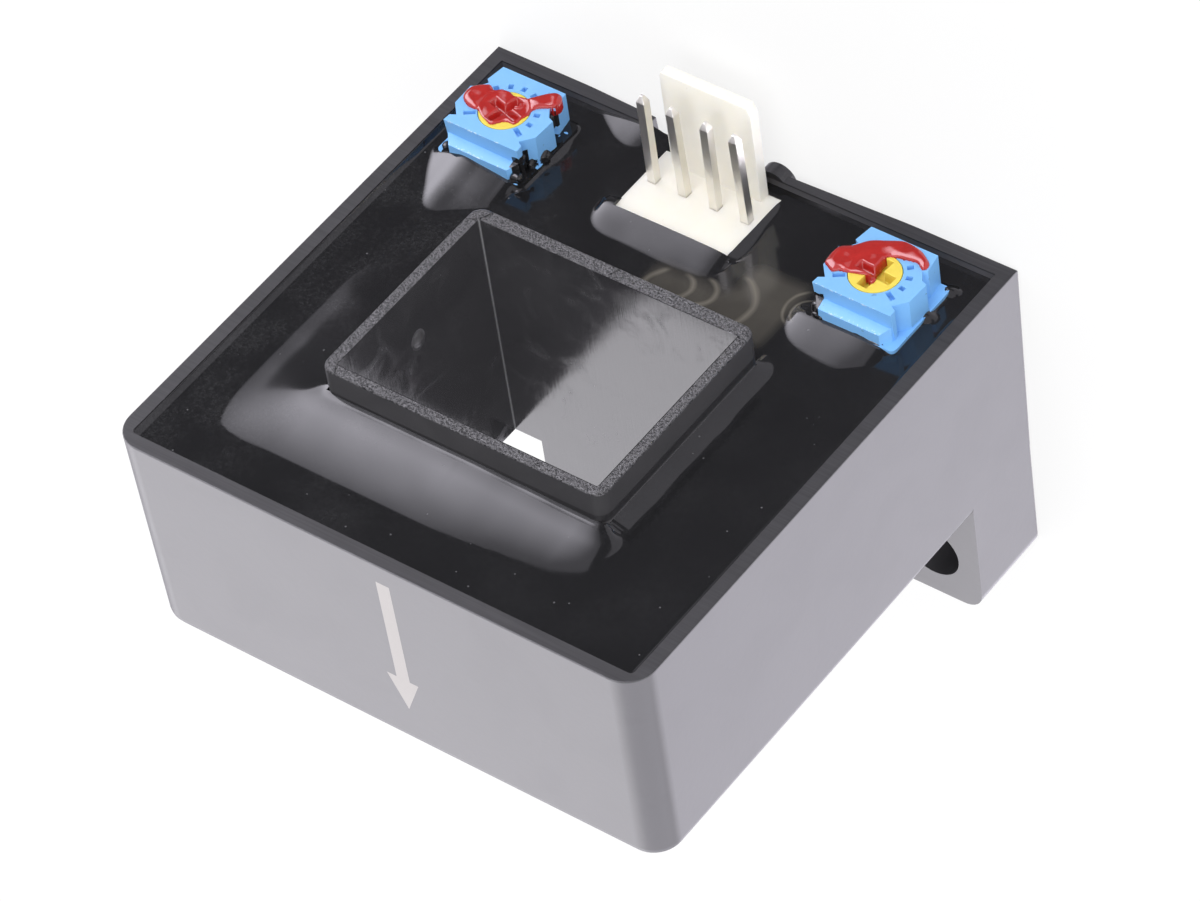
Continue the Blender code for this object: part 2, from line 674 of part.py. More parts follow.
def lock_ramp():
    """The thicker foot of the lock wall, which a mating plug's latch rides over."""
    half = LOCK_WIDTH / 2
    front = HEADER_BACK_Z + LOCK_THICKNESS
    top = HEADER_TOP_Y + LOCK_RAMP_STAND
    profile = [
        (HEADER_TOP_Y - GAP, front - LOCK_THICKNESS / 2), (HEADER_TOP_Y - GAP, front + LOCK_RAMP_THICKNESS),
        (top - 2 * LOCK_RAMP_THICKNESS, front + LOCK_RAMP_THICKNESS), (top, front),
        (top, front - LOCK_THICKNESS / 2),
    ]
    return outline_prism(profile, PIN_ROW_X - half, PIN_ROW_X + half, "X")


def pin_places():
    return [PIN_ROW_X + PIN_PITCH * (i - (PIN_COUNT - 1) / 2) for i in range(PIN_COUNT)]


def build_header():
    cream = finish("header_nylon", (0.86, 0.82, 0.72), 0.4)
    header = part("connector_base", header_block(), cream)
    join(header, tool("lock_wall", lock_wall()), tool("lock_ramp", lock_ramp()))
    half = PIN_WIDTH / 2 + FINE_GAP
    for number, x in enumerate(pin_places()):
        low = (x - half, BOARD_TOP_Y, PIN_ROW_Z - half)
        cut(header, tool(f"pin_hole_{number}", block(low, (x + half, HEADER_TOP_Y + GAP, PIN_ROW_Z + half))))
    return header


def build_pin(number, x, lean):
    """One square pin with both ends drawn to a blunt point."""
    tin = finish("pin_tin", (0.72, 0.71, 0.68), 0.22, 1.0)
    half = PIN_WIDTH / 2
    low = BOARD_LOW_Y - PIN_TAIL
    high = HEADER_TOP_Y + PIN_STAND + PIN_TIP / 2
    bm = block((-half, low + PIN_TIP, -half), (half, high - PIN_TIP, half))
    for direction in (-1, 1):
        end = [face for face in bm.faces if face.normal.y * direction > 0.9]
        grown = bmesh.ops.extrude_face_region(bm, geom=end)
        verts = [item for item in grown["geom"] if isinstance(item, bmesh.types.BMVert)]
        bmesh.ops.delete(bm, geom=end, context="FACES_ONLY")
        bmesh.ops.translate(bm, vec=(0.0, direction * PIN_TIP, 0.0), verts=verts)
        ratio = PIN_TIP_WIDTH / PIN_WIDTH
        bmesh.ops.scale(bm, vec=(ratio, 1.0, ratio), verts=verts)
        bmesh.ops.recalc_face_normals(bm, faces=bm.faces)
    turn = Matrix.Translation((x, HEADER_TOP_Y, PIN_ROW_Z)) @ Matrix.Rotation(math.radians(-lean), 4, "Z")
    shift = Matrix.Translation((0.0, -HEADER_TOP_Y, 0.0))
    bmesh.ops.transform(bm, matrix=turn @ shift, verts=bm.verts)
    return part(f"connector_pin_{number + 1}", bm, tin)


def trimmer_plan(x):
    """Plan of a trimmer's upper body: a square block with notched sides and a bulge round the rotor."""
    back = -TRIMMER_BACK_REACH
    front = TRIMMER_FRONT_REACH
    wide = TRIMMER_BODY_HALF
    narrow = TRIMMER_BACK_HALF
    waist = narrow - TRIMMER_NOTCH
    chamfer = TRIMMER_BACK_CHAMFER
    half = [
        (narrow - chamfer, back), (narrow, back + 3 * chamfer), (narrow, back * 0.50), (waist, back * 0.45),
        (waist, back * 0.33), (wide, back * 0.28), (wide, front * 0.15),
        (wide - TRIMMER_NOTCH / 3, front * 0.45), (waist + TRIMMER_NOTCH / 4, front * 0.68),
        (waist, front * 0.75), (narrow, front * 0.81), (narrow, front + TRIMMER_LIP),
    ]
    points = half + [(-u, w) for u, w in reversed(half)]
    return [(x + u, TRIMMER_Z + w) for u, w in points]


def trimmer_profile():
    """Side of a trimmer, (y, z): front groove, sloping front lip, and the flat back."""
    back = TRIMMER_Z - TRIMMER_BACK_REACH - GAP
    front = TRIMMER_Z + TRIMMER_FRONT_REACH
    top = TRIMMER_TOP_Y
    groove_y = top - TRIMMER_SKIRT / 2
    foot = BOARD_TOP_Y + GAP
    return [
        (foot, back), (top, back), (top, front - GAP / 3), (groove_y, front - GAP / 3 - TRIMMER_GROOVE),
        (groove_y - GAP, front + TRIMMER_LIP), (foot, front + TRIMMER_LIP),
    ]


def tick_angles():
    first = 270.0 - TICK_SPACING * (TICK_COUNT - 1) / 2
    return [first + TICK_SPACING * i for i in range(TICK_COUNT)]


def tick_ring(x):
    """The recessed ticks of the scale round the rotor, as one tool; the first and last are longer."""
    bm = bmesh.new()
    inner = TICK_RING_RADIUS - TICK_LENGTH / 2
    to_top = Matrix.Translation((x, TRIMMER_TOP_Y, TRIMMER_Z))
    for index, angle in enumerate(tick_angles()):
        length = TICK_END_LENGTH if index in (0, TICK_COUNT - 1) else TICK_LENGTH
        turn = Matrix.Rotation(math.radians(-angle), 4, "Y")
        out = Matrix.Translation((inner + length / 2, 0.0, 0.0))
        size = Matrix.Diagonal((length, 2 * TICK_DEPTH, TICK_WIDTH, 1.0))
        bmesh.ops.create_cube(bm, size=1.0, matrix=to_top @ turn @ out @ size)
    return bm


def terminal_places(x):
    """Two outer terminals towards the base and the wiper's terminal opposite, as (x, z)."""
    pitch = TERMINAL_PITCH
    return [(x - pitch, TRIMMER_Z - pitch), (x + pitch, TRIMMER_Z - pitch), (x, TRIMMER_Z + pitch)]


def build_trimmer(name, x, rotor_angle):
    blue = finish("trimmer_blue", (0.15, 0.42, 0.86), 0.4)
    yellow = finish("rotor_yellow", (0.85, 0.68, 0.05), 0.4)
    wide = TRIMMER_BODY_HALF + GAP
    side = tool(f"trimmer_side_{name}", outline_prism(trimmer_profile(), x - wide, x + wide, "X"))
    plan = outline_prism(trimmer_plan(x), BOARD_TOP_Y, TRIMMER_TOP_Y + GAP, "Y")
    body = part(f"trimmer_body_{name}", plan, blue)
    boolean(body, side, "INTERSECT")
    tab_top = TRIMMER_TOP_Y - TRIMMER_SKIRT
    tab = trimmer_box(x, tab_top - TRIMMER_TAB, tab_top)
    round_edges_along(tab, 1, TRIMMER_NOTCH, 2)
    join(body, tool(f"trimmer_tab_{name}", tab))
    cut(body, tool(f"ticks_{name}", tick_ring(x)))
    bore_depth = ROTOR_HEIGHT + FINE_GAP
    bore = cylinder((x, TRIMMER_TOP_Y, TRIMMER_Z), "Y", ROTOR_RADIUS + FINE_GAP, 2 * bore_depth)
    cut(body, tool(f"rotor_bore_{name}", bore))
    foot = BOARD_TOP_Y + GAP
    radius = TERMINAL_RADIUS + FINE_GAP
    reach = TERMINAL_INSET + FINE_GAP
    for number, (place_x, place_z) in enumerate(terminal_places(x)):
        hole = cylinder((place_x, foot, place_z), "Y", radius, 2 * reach, SMALL_ROUND_SIDES)
        cut(body, tool(f"terminal_hole_{name}_{number}", hole))
    smooth(body)
    build_rotor(name, x, rotor_angle, yellow)
    build_terminals(name, x)
    return body


def build_rotor(name, x, angle, yellow):
    middle_y = TRIMMER_TOP_Y - ROTOR_HEIGHT / 2
    disc = cylinder((x, middle_y, TRIMMER_Z), "Y", ROTOR_RADIUS, ROTOR_HEIGHT)
    rotor = part(f"trimmer_rotor_{name}", disc, yellow)
    corner = Vector((ROTOR_SLOT_LENGTH / 2, ROTOR_SLOT_DEPTH, ROTOR_SLOT_WIDTH / 2))
    to_top = Matrix.Translation((x, TRIMMER_TOP_Y, TRIMMER_Z))
    for arm in (0.0, 90.0):
        bm = block(-corner, corner)
        turn = Matrix.Rotation(math.radians(angle + arm), 4, "Y")
        bmesh.ops.transform(bm, matrix=to_top @ turn, verts=bm.verts)
        cut(rotor, tool(f"rotor_slot_{name}_{int(arm)}", bm))
    smooth(rotor)
    return rotor


def build_terminals(name, x):
    tin = finish("pin_tin", (0.72, 0.71, 0.68), 0.22, 1.0)
    low = BOARD_LOW_Y - TERMINAL_TAIL
    high = BOARD_TOP_Y + GAP + TERMINAL_INSET
    for number, (place_x, place_z) in enumerate(terminal_places(x)):
        middle = (place_x, (low + high) / 2, place_z)
        rod = cylinder(middle, "Y", TERMINAL_RADIUS, high - low, SMALL_ROUND_SIDES)
        made = part(f"trimmer_terminal_{name}_{number + 1}", rod, tin)
        smooth(made)


def lacquer_patch(name, x, splashes):
    """A dried patch of lacquer: overlapping round splashes on the trimmer's top, bevelled at the edge."""
    red = finish("lacquer_red", (0.62, 0.02, 0.03), 0.15)
    low = TRIMMER_TOP_Y + GAP / 2
    patch = None
    middle_y = low + LACQUER_THICKNESS / 2
    for number, (u, w, radius) in enumerate(splashes):
        drop = cylinder((x + u, middle_y, TRIMMER_Z + w), "Y", radius, LACQUER_THICKNESS, SPLASH_SIDES)
        rim = [edge for edge in drop.edges if all(vert.co.y > middle_y for vert in edge.verts)]
        bmesh.ops.bevel(
            drop, geom=rim, offset=LACQUER_THICKNESS * 0.6, offset_type="OFFSET", segments=1, affect="EDGES"
        )
        if patch is None:
            patch = part(f"lacquer_seal_{name}", drop, red)
        else:
            join(patch, tool(f"splash_{name}_{number}", drop))
    smooth(patch)
    return patch


def build_lacquer():
    rotor = ROTOR_RADIUS
    left = [(0.0, -0.1 * rotor, 0.9 * rotor), (-1.2 * rotor, -0.35 * rotor, 0.45 * rotor),
            (-0.75 * rotor, -0.2 * rotor, 0.5 * rotor), (0.9 * rotor, -0.35 * rotor, 0.35 * rotor),
            (1.3 * rotor, -0.75 * rotor, 0.3 * rotor)]
    right = [(-1.25 * rotor, 0.3 * rotor, 0.45 * rotor), (-0.75 * rotor, -0.05 * rotor, 0.6 * rotor),
             (-0.2 * rotor, -0.6 * rotor, 0.6 * rotor), (0.45 * rotor, -1.0 * rotor, 0.45 * rotor),
             (1.05 * rotor, -0.95 * rotor, 0.4 * rotor), (1.45 * rotor, -0.65 * rotor, 0.3 * rotor)]
    for name, x, splashes in zip(TRIMMER_NAMES, TRIMMER_X, (left, right)):
        lacquer_patch(name, x, splashes)


def build_amplifier():
    black = finish("package_black", (0.03, 0.03, 0.03), 0.5)
    low_y = BOARD_TOP_Y + GAP
    body_low = low_y + GAP / 2
    half_x, half_z = AMPLIFIER_SIZE[0] / 2, AMPLIFIER_SIZE[2] / 2
    body = block(
        (AMPLIFIER_X - half_x, body_low, AMPLIFIER_Z - half_z),
        (AMPLIFIER_X + half_x, low_y + AMPLIFIER_SIZE[1], AMPLIFIER_Z + half_z),
    )
    chip = part("amplifier_chip", body, black)
    shoulder = low_y + AMPLIFIER_SIZE[1] / 2
    half = AMPLIFIER_LEAD_WIDTH / 2
    thick = AMPLIFIER_LEAD_WIDTH / 2
    for side in (-1, 1):
        wall = AMPLIFIER_Z + side * AMPLIFIER_SIZE[2] / 2
        out = wall + side * AMPLIFIER_LEAD_REACH
        knee = wall + side * AMPLIFIER_LEAD_REACH / 2
        inside = wall - side * thick
        profile = [
            (shoulder - thick, inside), (shoulder - thick, knee - side * thick),
            (low_y, knee - side * thick), (low_y, out),
            (low_y + thick, out), (low_y + thick, knee),
            (shoulder, knee), (shoulder, inside),
        ]
        for number in range(AMPLIFIER_LEADS_PER_SIDE):
            x = AMPLIFIER_X + AMPLIFIER_LEAD_PITCH * (number - (AMPLIFIER_LEADS_PER_SIDE - 1) / 2)
            join(chip, tool(f"chip_lead_{side}_{number}", outline_prism(profile, x - half, x + half, "X")))
    return chip


def build_chips():
    dark = finish("resistor_black", (0.02, 0.02, 0.02), 0.4)
    tan = finish("capacitor_tan", (0.42, 0.30, 0.18), 0.45)
    for name, z, size, underside in chip_places():
        part(name, chip_box(CHIP_X, z, size, underside), tan if size == CAPACITOR_SIZE else dark)


build_case()
build_potting()
build_core()
build_hall_element()
build_board()
build_header()
for pin_number, (pin_x, pin_lean) in enumerate(zip(pin_places(), PIN_LEANS)):
    build_pin(pin_number, pin_x, pin_lean)
for trimmer_name, trimmer_x, angle in zip(TRIMMER_NAMES, TRIMMER_X, ROTOR_ANGLES):
    build_trimmer(trimmer_name, trimmer_x, angle)
build_lacquer()
build_amplifier()
build_chips()
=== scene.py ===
import math

import bmesh
import bpy
from mathutils import Matrix, Vector, noise


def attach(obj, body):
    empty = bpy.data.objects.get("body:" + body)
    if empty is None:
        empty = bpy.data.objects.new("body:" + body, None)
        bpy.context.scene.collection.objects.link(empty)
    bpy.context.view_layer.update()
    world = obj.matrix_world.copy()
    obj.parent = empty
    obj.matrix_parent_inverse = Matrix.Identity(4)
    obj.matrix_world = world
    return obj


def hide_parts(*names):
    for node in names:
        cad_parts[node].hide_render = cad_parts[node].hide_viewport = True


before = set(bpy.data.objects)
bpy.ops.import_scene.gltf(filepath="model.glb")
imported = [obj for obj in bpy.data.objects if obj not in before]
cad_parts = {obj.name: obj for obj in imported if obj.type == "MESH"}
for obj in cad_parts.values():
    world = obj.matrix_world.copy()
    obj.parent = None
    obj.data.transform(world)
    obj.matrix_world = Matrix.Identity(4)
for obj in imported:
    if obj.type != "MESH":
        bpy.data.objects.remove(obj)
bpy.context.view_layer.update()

# Camera: it stands high at the right of the potted face and is rolled, as the object is
# photographed lying on its back. A long lens keeps the edges nearly parallel.
bpy.ops.object.camera_add(location=(0.195394, 0.302178, 0.226945))
camera = bpy.context.object
camera.rotation_mode = "QUATERNION"
camera.rotation_quaternion = (0.86353128, -0.39229571, 0.30770357, 0.07573844)
camera.data.sensor_width = 36.0
camera.data.lens = 191.34
camera.data.clip_start = 0.01
camera.data.clip_end = 20.0
bpy.context.scene.camera = camera
bpy.context.scene.view_settings.view_transform = "Standard"


# Shader maths: a socket that takes part in arithmetic, and finishes whose other nodes all come
# from one method. The first materials that need them are the floor's and the studio's.
class Value:
    """An output socket. Arithmetic on it adds Math nodes."""

    def __init__(self, tree, socket):
        self.tree = tree
        self.socket = socket

    def maths(self, operation, *others):
        node = self.tree.nodes.new("ShaderNodeMath")
        node.operation = operation
        for place, other in zip(node.inputs, others):
            if isinstance(other, Value):
                self.tree.links.new(other.socket, place)
            else:
                place.default_value = other
        return Value(self.tree, node.outputs[0])

    def __add__(self, other):
        return self.maths("ADD", self, other)

    def __radd__(self, other):
        return self.maths("ADD", other, self)

    def __sub__(self, other):
        return self.maths("SUBTRACT", self, other)

    def __rsub__(self, other):
        return self.maths("SUBTRACT", other, self)

    def __mul__(self, other):
        return self.maths("MULTIPLY", self, other)

    def __rmul__(self, other):
        return self.maths("MULTIPLY", other, self)

    def __truediv__(self, other):
        return self.maths("DIVIDE", self, other)

    def __gt__(self, other):
        return self.maths("GREATER_THAN", self, other)

    def __lt__(self, other):
        return self.maths("LESS_THAN", self, other)

    def __abs__(self):
        return self.maths("ABSOLUTE", self)

    def clamp(self):
        return self.maths("MINIMUM", self.maths("MAXIMUM", self, 0.0), 1.0)

    def power(self, other):
        return self.maths("POWER", self, other)


class Nodes:
    """The nodes of a material or the world. add() makes each one that isn't arithmetic."""

    def __init__(self, tree):
        self.tree = tree

    def add(self, kind, settings=None, sockets=None, output=0):
        node = self.tree.nodes.new("ShaderNode" + kind)
        for name, value in (settings or {}).items():
            setattr(node, name, value)
        for name, value in (sockets or {}).items():
            place = node.inputs[name]
            if isinstance(value, Value):
                self.tree.links.new(value.socket, place)
            else:
                place.default_value = value
        return Value(self.tree, node.outputs[output])

    def mix(self, factor, first, second):
        """One colour fading into another by a value from 0 to 1."""
        first, second = (shade if isinstance(shade, Value) else (*shade, 1.0) for shade in (first, second))
        return self.add("Mix", {"data_type": "RGBA"}, {0: factor, 6: first, 7: second}, 2)

    def looked_at(self):
        """1 where the camera, gloss or glass looks, and 1 where gloss alone does."""
        paths = self.add("LightPath").socket.node
        camera, gloss, glass = (Value(self.tree, paths.outputs[f"Is {kind} Ray"])
                                for kind in ("Camera", "Glossy", "Transmission"))
        return (camera + gloss + glass).clamp(), gloss


class Finish(Nodes):
    """A named material, whose constants sit on the shader's own sockets."""

    def __init__(self, name, colour=(0.8, 0.8, 0.8), roughness=0.5, **constants):
        self.material = bpy.data.materials.new(name)
        self.material.use_nodes = True
        super().__init__(self.material.node_tree)
        self.shader = self.tree.nodes["Principled BSDF"]
        self.shader.inputs["Base Color"].default_value = (*colour, 1.0)
        self.shader.inputs["Roughness"].default_value = roughness
        for socket, value in constants.items():
            self.shader.inputs[socket.replace("_", " ")].default_value = value

    def place(self):
        """The point on the object, in metres."""
        return self.add("TexCoord", output="Object")

    def axes(self):
        """The point's x, y and z as three values."""
        split = self.add("SeparateXYZ", None, {0: self.place()}).socket.node
        return [Value(self.tree, socket) for socket in split.outputs]

    def noise(self, size, detail=2.0, rough=0.5, distortion=0.0, point=None):
        """Cloudy noise from 0 to 1 whose blobs are about so many metres wide."""
        return self.add(
            "TexNoise",
            sockets={"Vector": point or self.place(), "Scale": 1.0 / size, "Detail": detail,
                     "Roughness": rough, "Distortion": distortion},
            output="Fac",
        )

    def stretched(self, by_x, by_y, by_z):
        """The point on the object with each of its axes multiplied, for a pattern with a direction."""
        x, y, z = self.axes()
        return self.add("CombineXYZ", None, {0: x * by_x, 1: y * by_y, 2: z * by_z})

    def bump(self, height, depth, under=None):
        """A Normal from a height of 0 to 1 that stands for so many metres."""
        sockets = {"Height": height, "Distance": depth}
        if under:
            sockets["Normal"] = under
        return self.add("Bump", None, sockets, "Normal")

    def feed(self, **links):
        """Links values to the shader's sockets."""
        for socket, value in links.items():
            self.tree.links.new(value.socket, self.shader.inputs[socket.replace("_", " ")])
        return self.material

    def surface(self, shader):
        """Puts another shader in the place of the Principled one."""
        self.tree.links.new(shader.socket, self.tree.nodes["Material Output"].inputs["Surface"])
        self.tree.nodes.remove(self.shader)
        return self.material


# Studio: a pale paper floor that reads white to the camera and keeps the object's shadow, a dim
# white room, four softboxes of which gloss sees three, and cards that only reflections see.
FLOOR_COLOUR = (0.88, 0.88, 0.885, 1.0)
FLOOR_WHITE_SHARE = 0.78
ROOM_FILL = 0.62
ROOM_WHITE = (1.0, 1.0, 1.0)
ROOM_GLOSS_TINT = (0.94, 0.915, 1.0)
CARD_TINT = (0.93, 0.905, 1.0, 1.0)


def coat(piece, material):
    """Gives the whole piece one material."""
    piece.data.materials.clear()
    piece.data.materials.append(material)


bpy.ops.mesh.primitive_plane_add(size=8.0, location=(0.0, 0.0, -0.0001))
floor = bpy.context.object
floor.name = "studio_floor"
paper = Finish("floor_paper")
looked_at, _ = paper.looked_at()
white = paper.add("Emission", None, {"Color": (*ROOM_WHITE, 1.0), "Strength": 1.0})
lit = paper.add("BsdfDiffuse", None, {"Color": FLOOR_COLOUR})
paper.surface(paper.add("MixShader", None, {0: looked_at * FLOOR_WHITE_SHARE, 1: lit, 2: white}))
coat(floor, paper.material)
floor.visible_glossy = False

world = bpy.data.worlds.new("studio_room")
bpy.context.scene.world = world
world.use_nodes = True
room = Nodes(world.node_tree)
looked_at, glossy_ray = room.looked_at()
for socket, value in (("Color", room.mix(glossy_ray, ROOM_WHITE, ROOM_GLOSS_TINT)),
                      ("Strength", looked_at * (1.0 - ROOM_FILL) + ROOM_FILL)):
    room.tree.links.new(value.socket, room.tree.nodes["Background"].inputs[socket])


def softbox(name, direction, distance, width, height, radiance):
    """An area lamp that faces the object; its power follows from its size and brightness."""
    bpy.ops.object.light_add(type="AREA", location=Vector(direction).normalized() * distance)
    lamp = bpy.context.object
    lamp.name = name
    lamp.rotation_mode = "QUATERNION"
    lamp.rotation_quaternion = Vector(direction).to_track_quat("Z", "Y")
    lamp.data.shape = "RECTANGLE"
    lamp.data.size = width
    lamp.data.size_y = height
    lamp.data.energy = radiance * math.pi * width * height
    lamp.visible_camera = False
    return lamp


softbox("softbox_back", (-0.472, -0.724, 0.503), 1.0, 0.95, 0.8, 2.62).data.color = (0.97, 0.955, 1.0)
softbox("softbox_top", (0.25, 0.25, 1.0), 0.8, 0.6, 0.6, 1.9)
softbox("softbox_right", (0.85, 0.1, 0.4), 0.8, 0.6, 0.5, 1.8)
softbox("softbox_front", (0.1, 0.9, 0.45), 0.8, 0.6, 0.5, 3.0).visible_glossy = False


def mirrored(normal, spot):
    """The direction that a glossy surface with this normal, at this spot, shows to the camera."""
    view = (camera.location - Vector(spot)).normalized()
    normal = Vector(normal).normalized()
    return 2.0 * normal.dot(view) * normal - view


def card(name, normals, dim, bright=None, rises=(0.0, 1.0), slant=0.0, away=2.0, spot=(0.0, 0.0, 0.0)):
    """A board that only reflections see. Its outline is what surfaces with these tilts mirror, and
    it may brighten from a dim edge to a bright one as the tilt in Z grows."""
    bpy.ops.mesh.primitive_circle_add(vertices=len(normals), radius=1.0, fill_type="NGON")
    board = bpy.context.object
    board.name = name
    sights = [mirrored(normal, spot) for normal in normals]
    middle = sum(sights, Vector()).normalized()
    for vert, sight in zip(board.data.vertices, sights):
        vert.co = Vector(spot) + sight * (away / sight.dot(middle))
    finish = Finish(name)
    glow = finish.add("Emission", None, {"Color": CARD_TINT, "Strength": dim})
    if bright:
        tilts = ((0.0, 0.0), (0.0, 0.3), (-0.3, 0.1))
        points = [mirrored((u, 1.0, w), spot) for u, w in tilts]
        points = [Vector(spot) + point * (away / point.dot(middle)) for point in points]
        shares = Vector([(w - slant * u - rises[0]) / (rises[1] - rises[0]) for u, w in tilts])
        weights = Matrix(points).inverted() @ shares
        share = finish.add(
            "VectorMath", {"operation": "DOT_PRODUCT"}, {0: finish.place(), 1: weights}, "Value")
        full = finish.add("Emission", None, {"Color": CARD_TINT, "Strength": bright})
        glow = finish.add("MixShader", None, {0: share.clamp(), 1: glow, 2: full})
    finish.material.cycles.emission_sampling = "NONE"
    coat(board, finish.surface(glow))
    for kind in ("camera", "diffuse", "transmission", "volume_scatter", "shadow"):
        setattr(board, "visible_" + kind, False)


card("card_front", [(0.10, 1.0, 0.065), (0.0, 1.0, 0.065), (-0.055, 1.0, 0.05), (-0.07, 1.0, 0.0),
                    (-0.065, 1.0, -0.03), (-0.125, 1.0, -0.02), (-0.155, 1.0, 0.02), (-0.30, 1.0, 0.12),
                    (-0.42, 1.0, 0.5), (0.26, 1.0, 0.66), (0.25, 1.0, 0.25)],
     dim=1.0, bright=7.4, rises=(0.06, 0.235), slant=0.4, spot=(-0.0080, 0.0127, 0.0310))
card("card_dark", [(-0.45, 1.0, -0.5), (0.23, 1.0, -0.5), (0.23, 1.0, 0.09), (0.5, 1.0, 0.12),
                   (0.5, 1.0, 0.3), (-0.45, 1.0, 0.3)], dim=0.22, away=3.2)
card("card_right_wall", [(1.0, -0.3, -0.25), (1.0, -0.3, 0.35), (1.0, 0.4, 0.35), (1.0, 0.4, -0.25)], dim=3.1)
card("card_corner", [(0.9, -0.3, 0.4), (0.4, -0.3, 0.9), (0.4, 0.4, 0.9), (0.9, 0.4, 0.4)], dim=2.5)


# Case: one moulding of black polyester with its feet, its web and the tube round the aperture.
# Its walls lean in towards the face, its rim stands a little proud of the potting, and shrinkage
# has drawn the base wall in at the middle.
CASE_WIDTH = 0.0417
CASE_HEIGHT = 0.0413
RIM_Y = 0.01325
FACE_Y = -0.00405
FOOT_Y = -0.01325
FLOOR_Y = -0.00255
RIM_WALL = 0.0010
CASE_DRAFT = 0.0003
INNER_DRAFT = 0.0004
APERTURE_HALF = (0.0103, 0.00745)
APERTURE_Z = 0.02305
COLLAR_WALL = 0.00078
COLLAR_TOP_Y = RIM_Y + 0.00247
COLLAR_CORNER = 0.0009
RECESS_RADIUS = 0.0056
RECESS_INSET = 0.0052
RECESS_DEPTH = 0.00008
FOOT_THICKNESS = 0.0066
WEB_HALF = 0.0081
WEB_TOP = 0.0156
OVERLAP = 0.0003
HOLE_X = 0.01675
HOLE_Y = FACE_Y - 0.0053
HOLE_RADIUS = 0.00215
BUMP_DROP = 0.0021
BUMP_Z = 0.0230


def alone(piece):
    """Leaves edit mode and selects one piece only."""
    if bpy.context.mode != "OBJECT":
        bpy.ops.object.mode_set(mode="OBJECT")
    bpy.ops.object.select_all(action="DESELECT")
    piece.select_set(True)
    bpy.context.view_layer.objects.active = piece
    return piece


def start(name):
    """Names the primitive just added and puts its place into its mesh."""
    piece = alone(bpy.context.object)
    piece.name = piece.data.name = name
    bpy.ops.object.transform_apply(location=True, rotation=True, scale=True)
    return piece


def block(name, low, high):
    """A box between two corners."""
    middle = [(a + b) / 2 for a, b in zip(low, high)]
    size = [b - a for a, b in zip(low, high)]
    bpy.ops.mesh.primitive_cube_add(size=1.0, location=middle, scale=size)
    return start(name)


def rod(name, centre, axis, radius, length, sides=48):
    """A round bar along Y or Z."""
    turn = {"Y": (math.pi / 2, 0.0, 0.0), "Z": (0.0, 0.0, 0.0)}[axis]
    bpy.ops.mesh.primitive_cylinder_add(
        vertices=sides, radius=radius, depth=length, location=centre, rotation=turn)
    return start(name)


def edit(piece, kind, wanted):
    """Opens the piece with only those corners, edges or faces selected that pass a test."""
    alone(piece)
    bpy.ops.object.mode_set(mode="EDIT")
    bpy.ops.mesh.select_mode(type=kind)
    bpy.ops.mesh.select_all(action="DESELECT")
    work = bmesh.from_edit_mesh(piece.data)
    for element in {"VERT": work.verts, "EDGE": work.edges, "FACE": work.faces}[kind]:
        if wanted(element):
            element.select_set(True)
    bmesh.update_edit_mesh(piece.data)


def between(wanted):
    """A test for edges whose two ends pass another test."""
    return lambda edge: all(wanted(vert.co) for vert in edge.verts)


def along(axis, wanted=lambda co: True):
    """The same, for edges that run along one axis."""
    def test(edge):
        run = edge.verts[1].co - edge.verts[0].co
        return abs(run[axis]) > 0.9 * run.length and between(wanted)(edge)
    return test


def round_edges(piece, test, radius, segments):
    """Rounds the edges that pass a test."""
    edit(piece, "EDGE", test)
    bpy.ops.mesh.bevel(offset=radius, offset_type="OFFSET", segments=segments, affect="EDGES")
    alone(piece)


def move(piece, wanted, step):
    """Moves the corners that pass a test."""
    edit(piece, "VERT", wanted)
    bpy.ops.transform.translate(value=step)
    alone(piece)


def taper(piece, scale_x, scale_z, middle_z):
    """Draws the piece's back corners in, as the draft of a moulding."""
    edit(piece, "VERT", lambda vert: vert.co.y < 0.0)
    bpy.ops.transform.resize(value=(scale_x, 1.0, scale_z), center_override=(0.0, 0.0, middle_z))
    alone(piece)


def carve(piece, tool, operation="DIFFERENCE"):
    """Cuts, joins or trims the piece with a second solid, which is used up."""
    alone(piece)
    modifier = piece.modifiers.new("carve", "BOOLEAN")
    modifier.operation = operation
    modifier.solver = "EXACT"
    modifier.object = tool
    bpy.ops.object.modifier_apply(modifier=modifier.name)
    bpy.data.objects.remove(tool, do_unlink=True)


def soften(piece, width, segments=2, angle=35.0):
    """Breaks every edge that is sharper than an angle, and shades the piece smooth."""
    alone(piece)
    modifier = piece.modifiers.new("soften", "BEVEL")
    modifier.width = width
    modifier.segments = segments
    modifier.limit_method = "ANGLE"
    modifier.angle_limit = math.radians(angle)
    modifier.use_clamp_overlap = True
    bpy.ops.object.modifier_apply(modifier=modifier.name)
    bpy.ops.object.shade_smooth_by_angle(angle=math.radians(angle + 12.0))
    modifier = piece.modifiers.new("even", "WEIGHTED_NORMAL")
    modifier.keep_sharp = True
    bpy.ops.object.modifier_apply(modifier=modifier.name)


def outline_block(name, outline, low, high, axis):
    """A flat outline given thickness: a circle whose corners are moved to the outline."""
    bpy.ops.mesh.primitive_circle_add(vertices=len(outline), radius=0.01, fill_type="NGON")
    piece = start(name)
    for vert, (u, w) in zip(piece.data.vertices, outline):
        vert.co = {"X": (low, u, w), "Y": (u, low, w), "Z": (u, w, low)}[axis]
    edit(piece, "FACE", lambda face: True)
    step = [high - low if letter == axis else 0.0 for letter in "XYZ"]
    bpy.ops.mesh.extrude_region_move(TRANSFORM_OT_translate={"value": step})
    bpy.ops.mesh.select_all(action="SELECT")
    bpy.ops.mesh.normals_make_consistent(inside=False)
    alone(piece)
    return piece


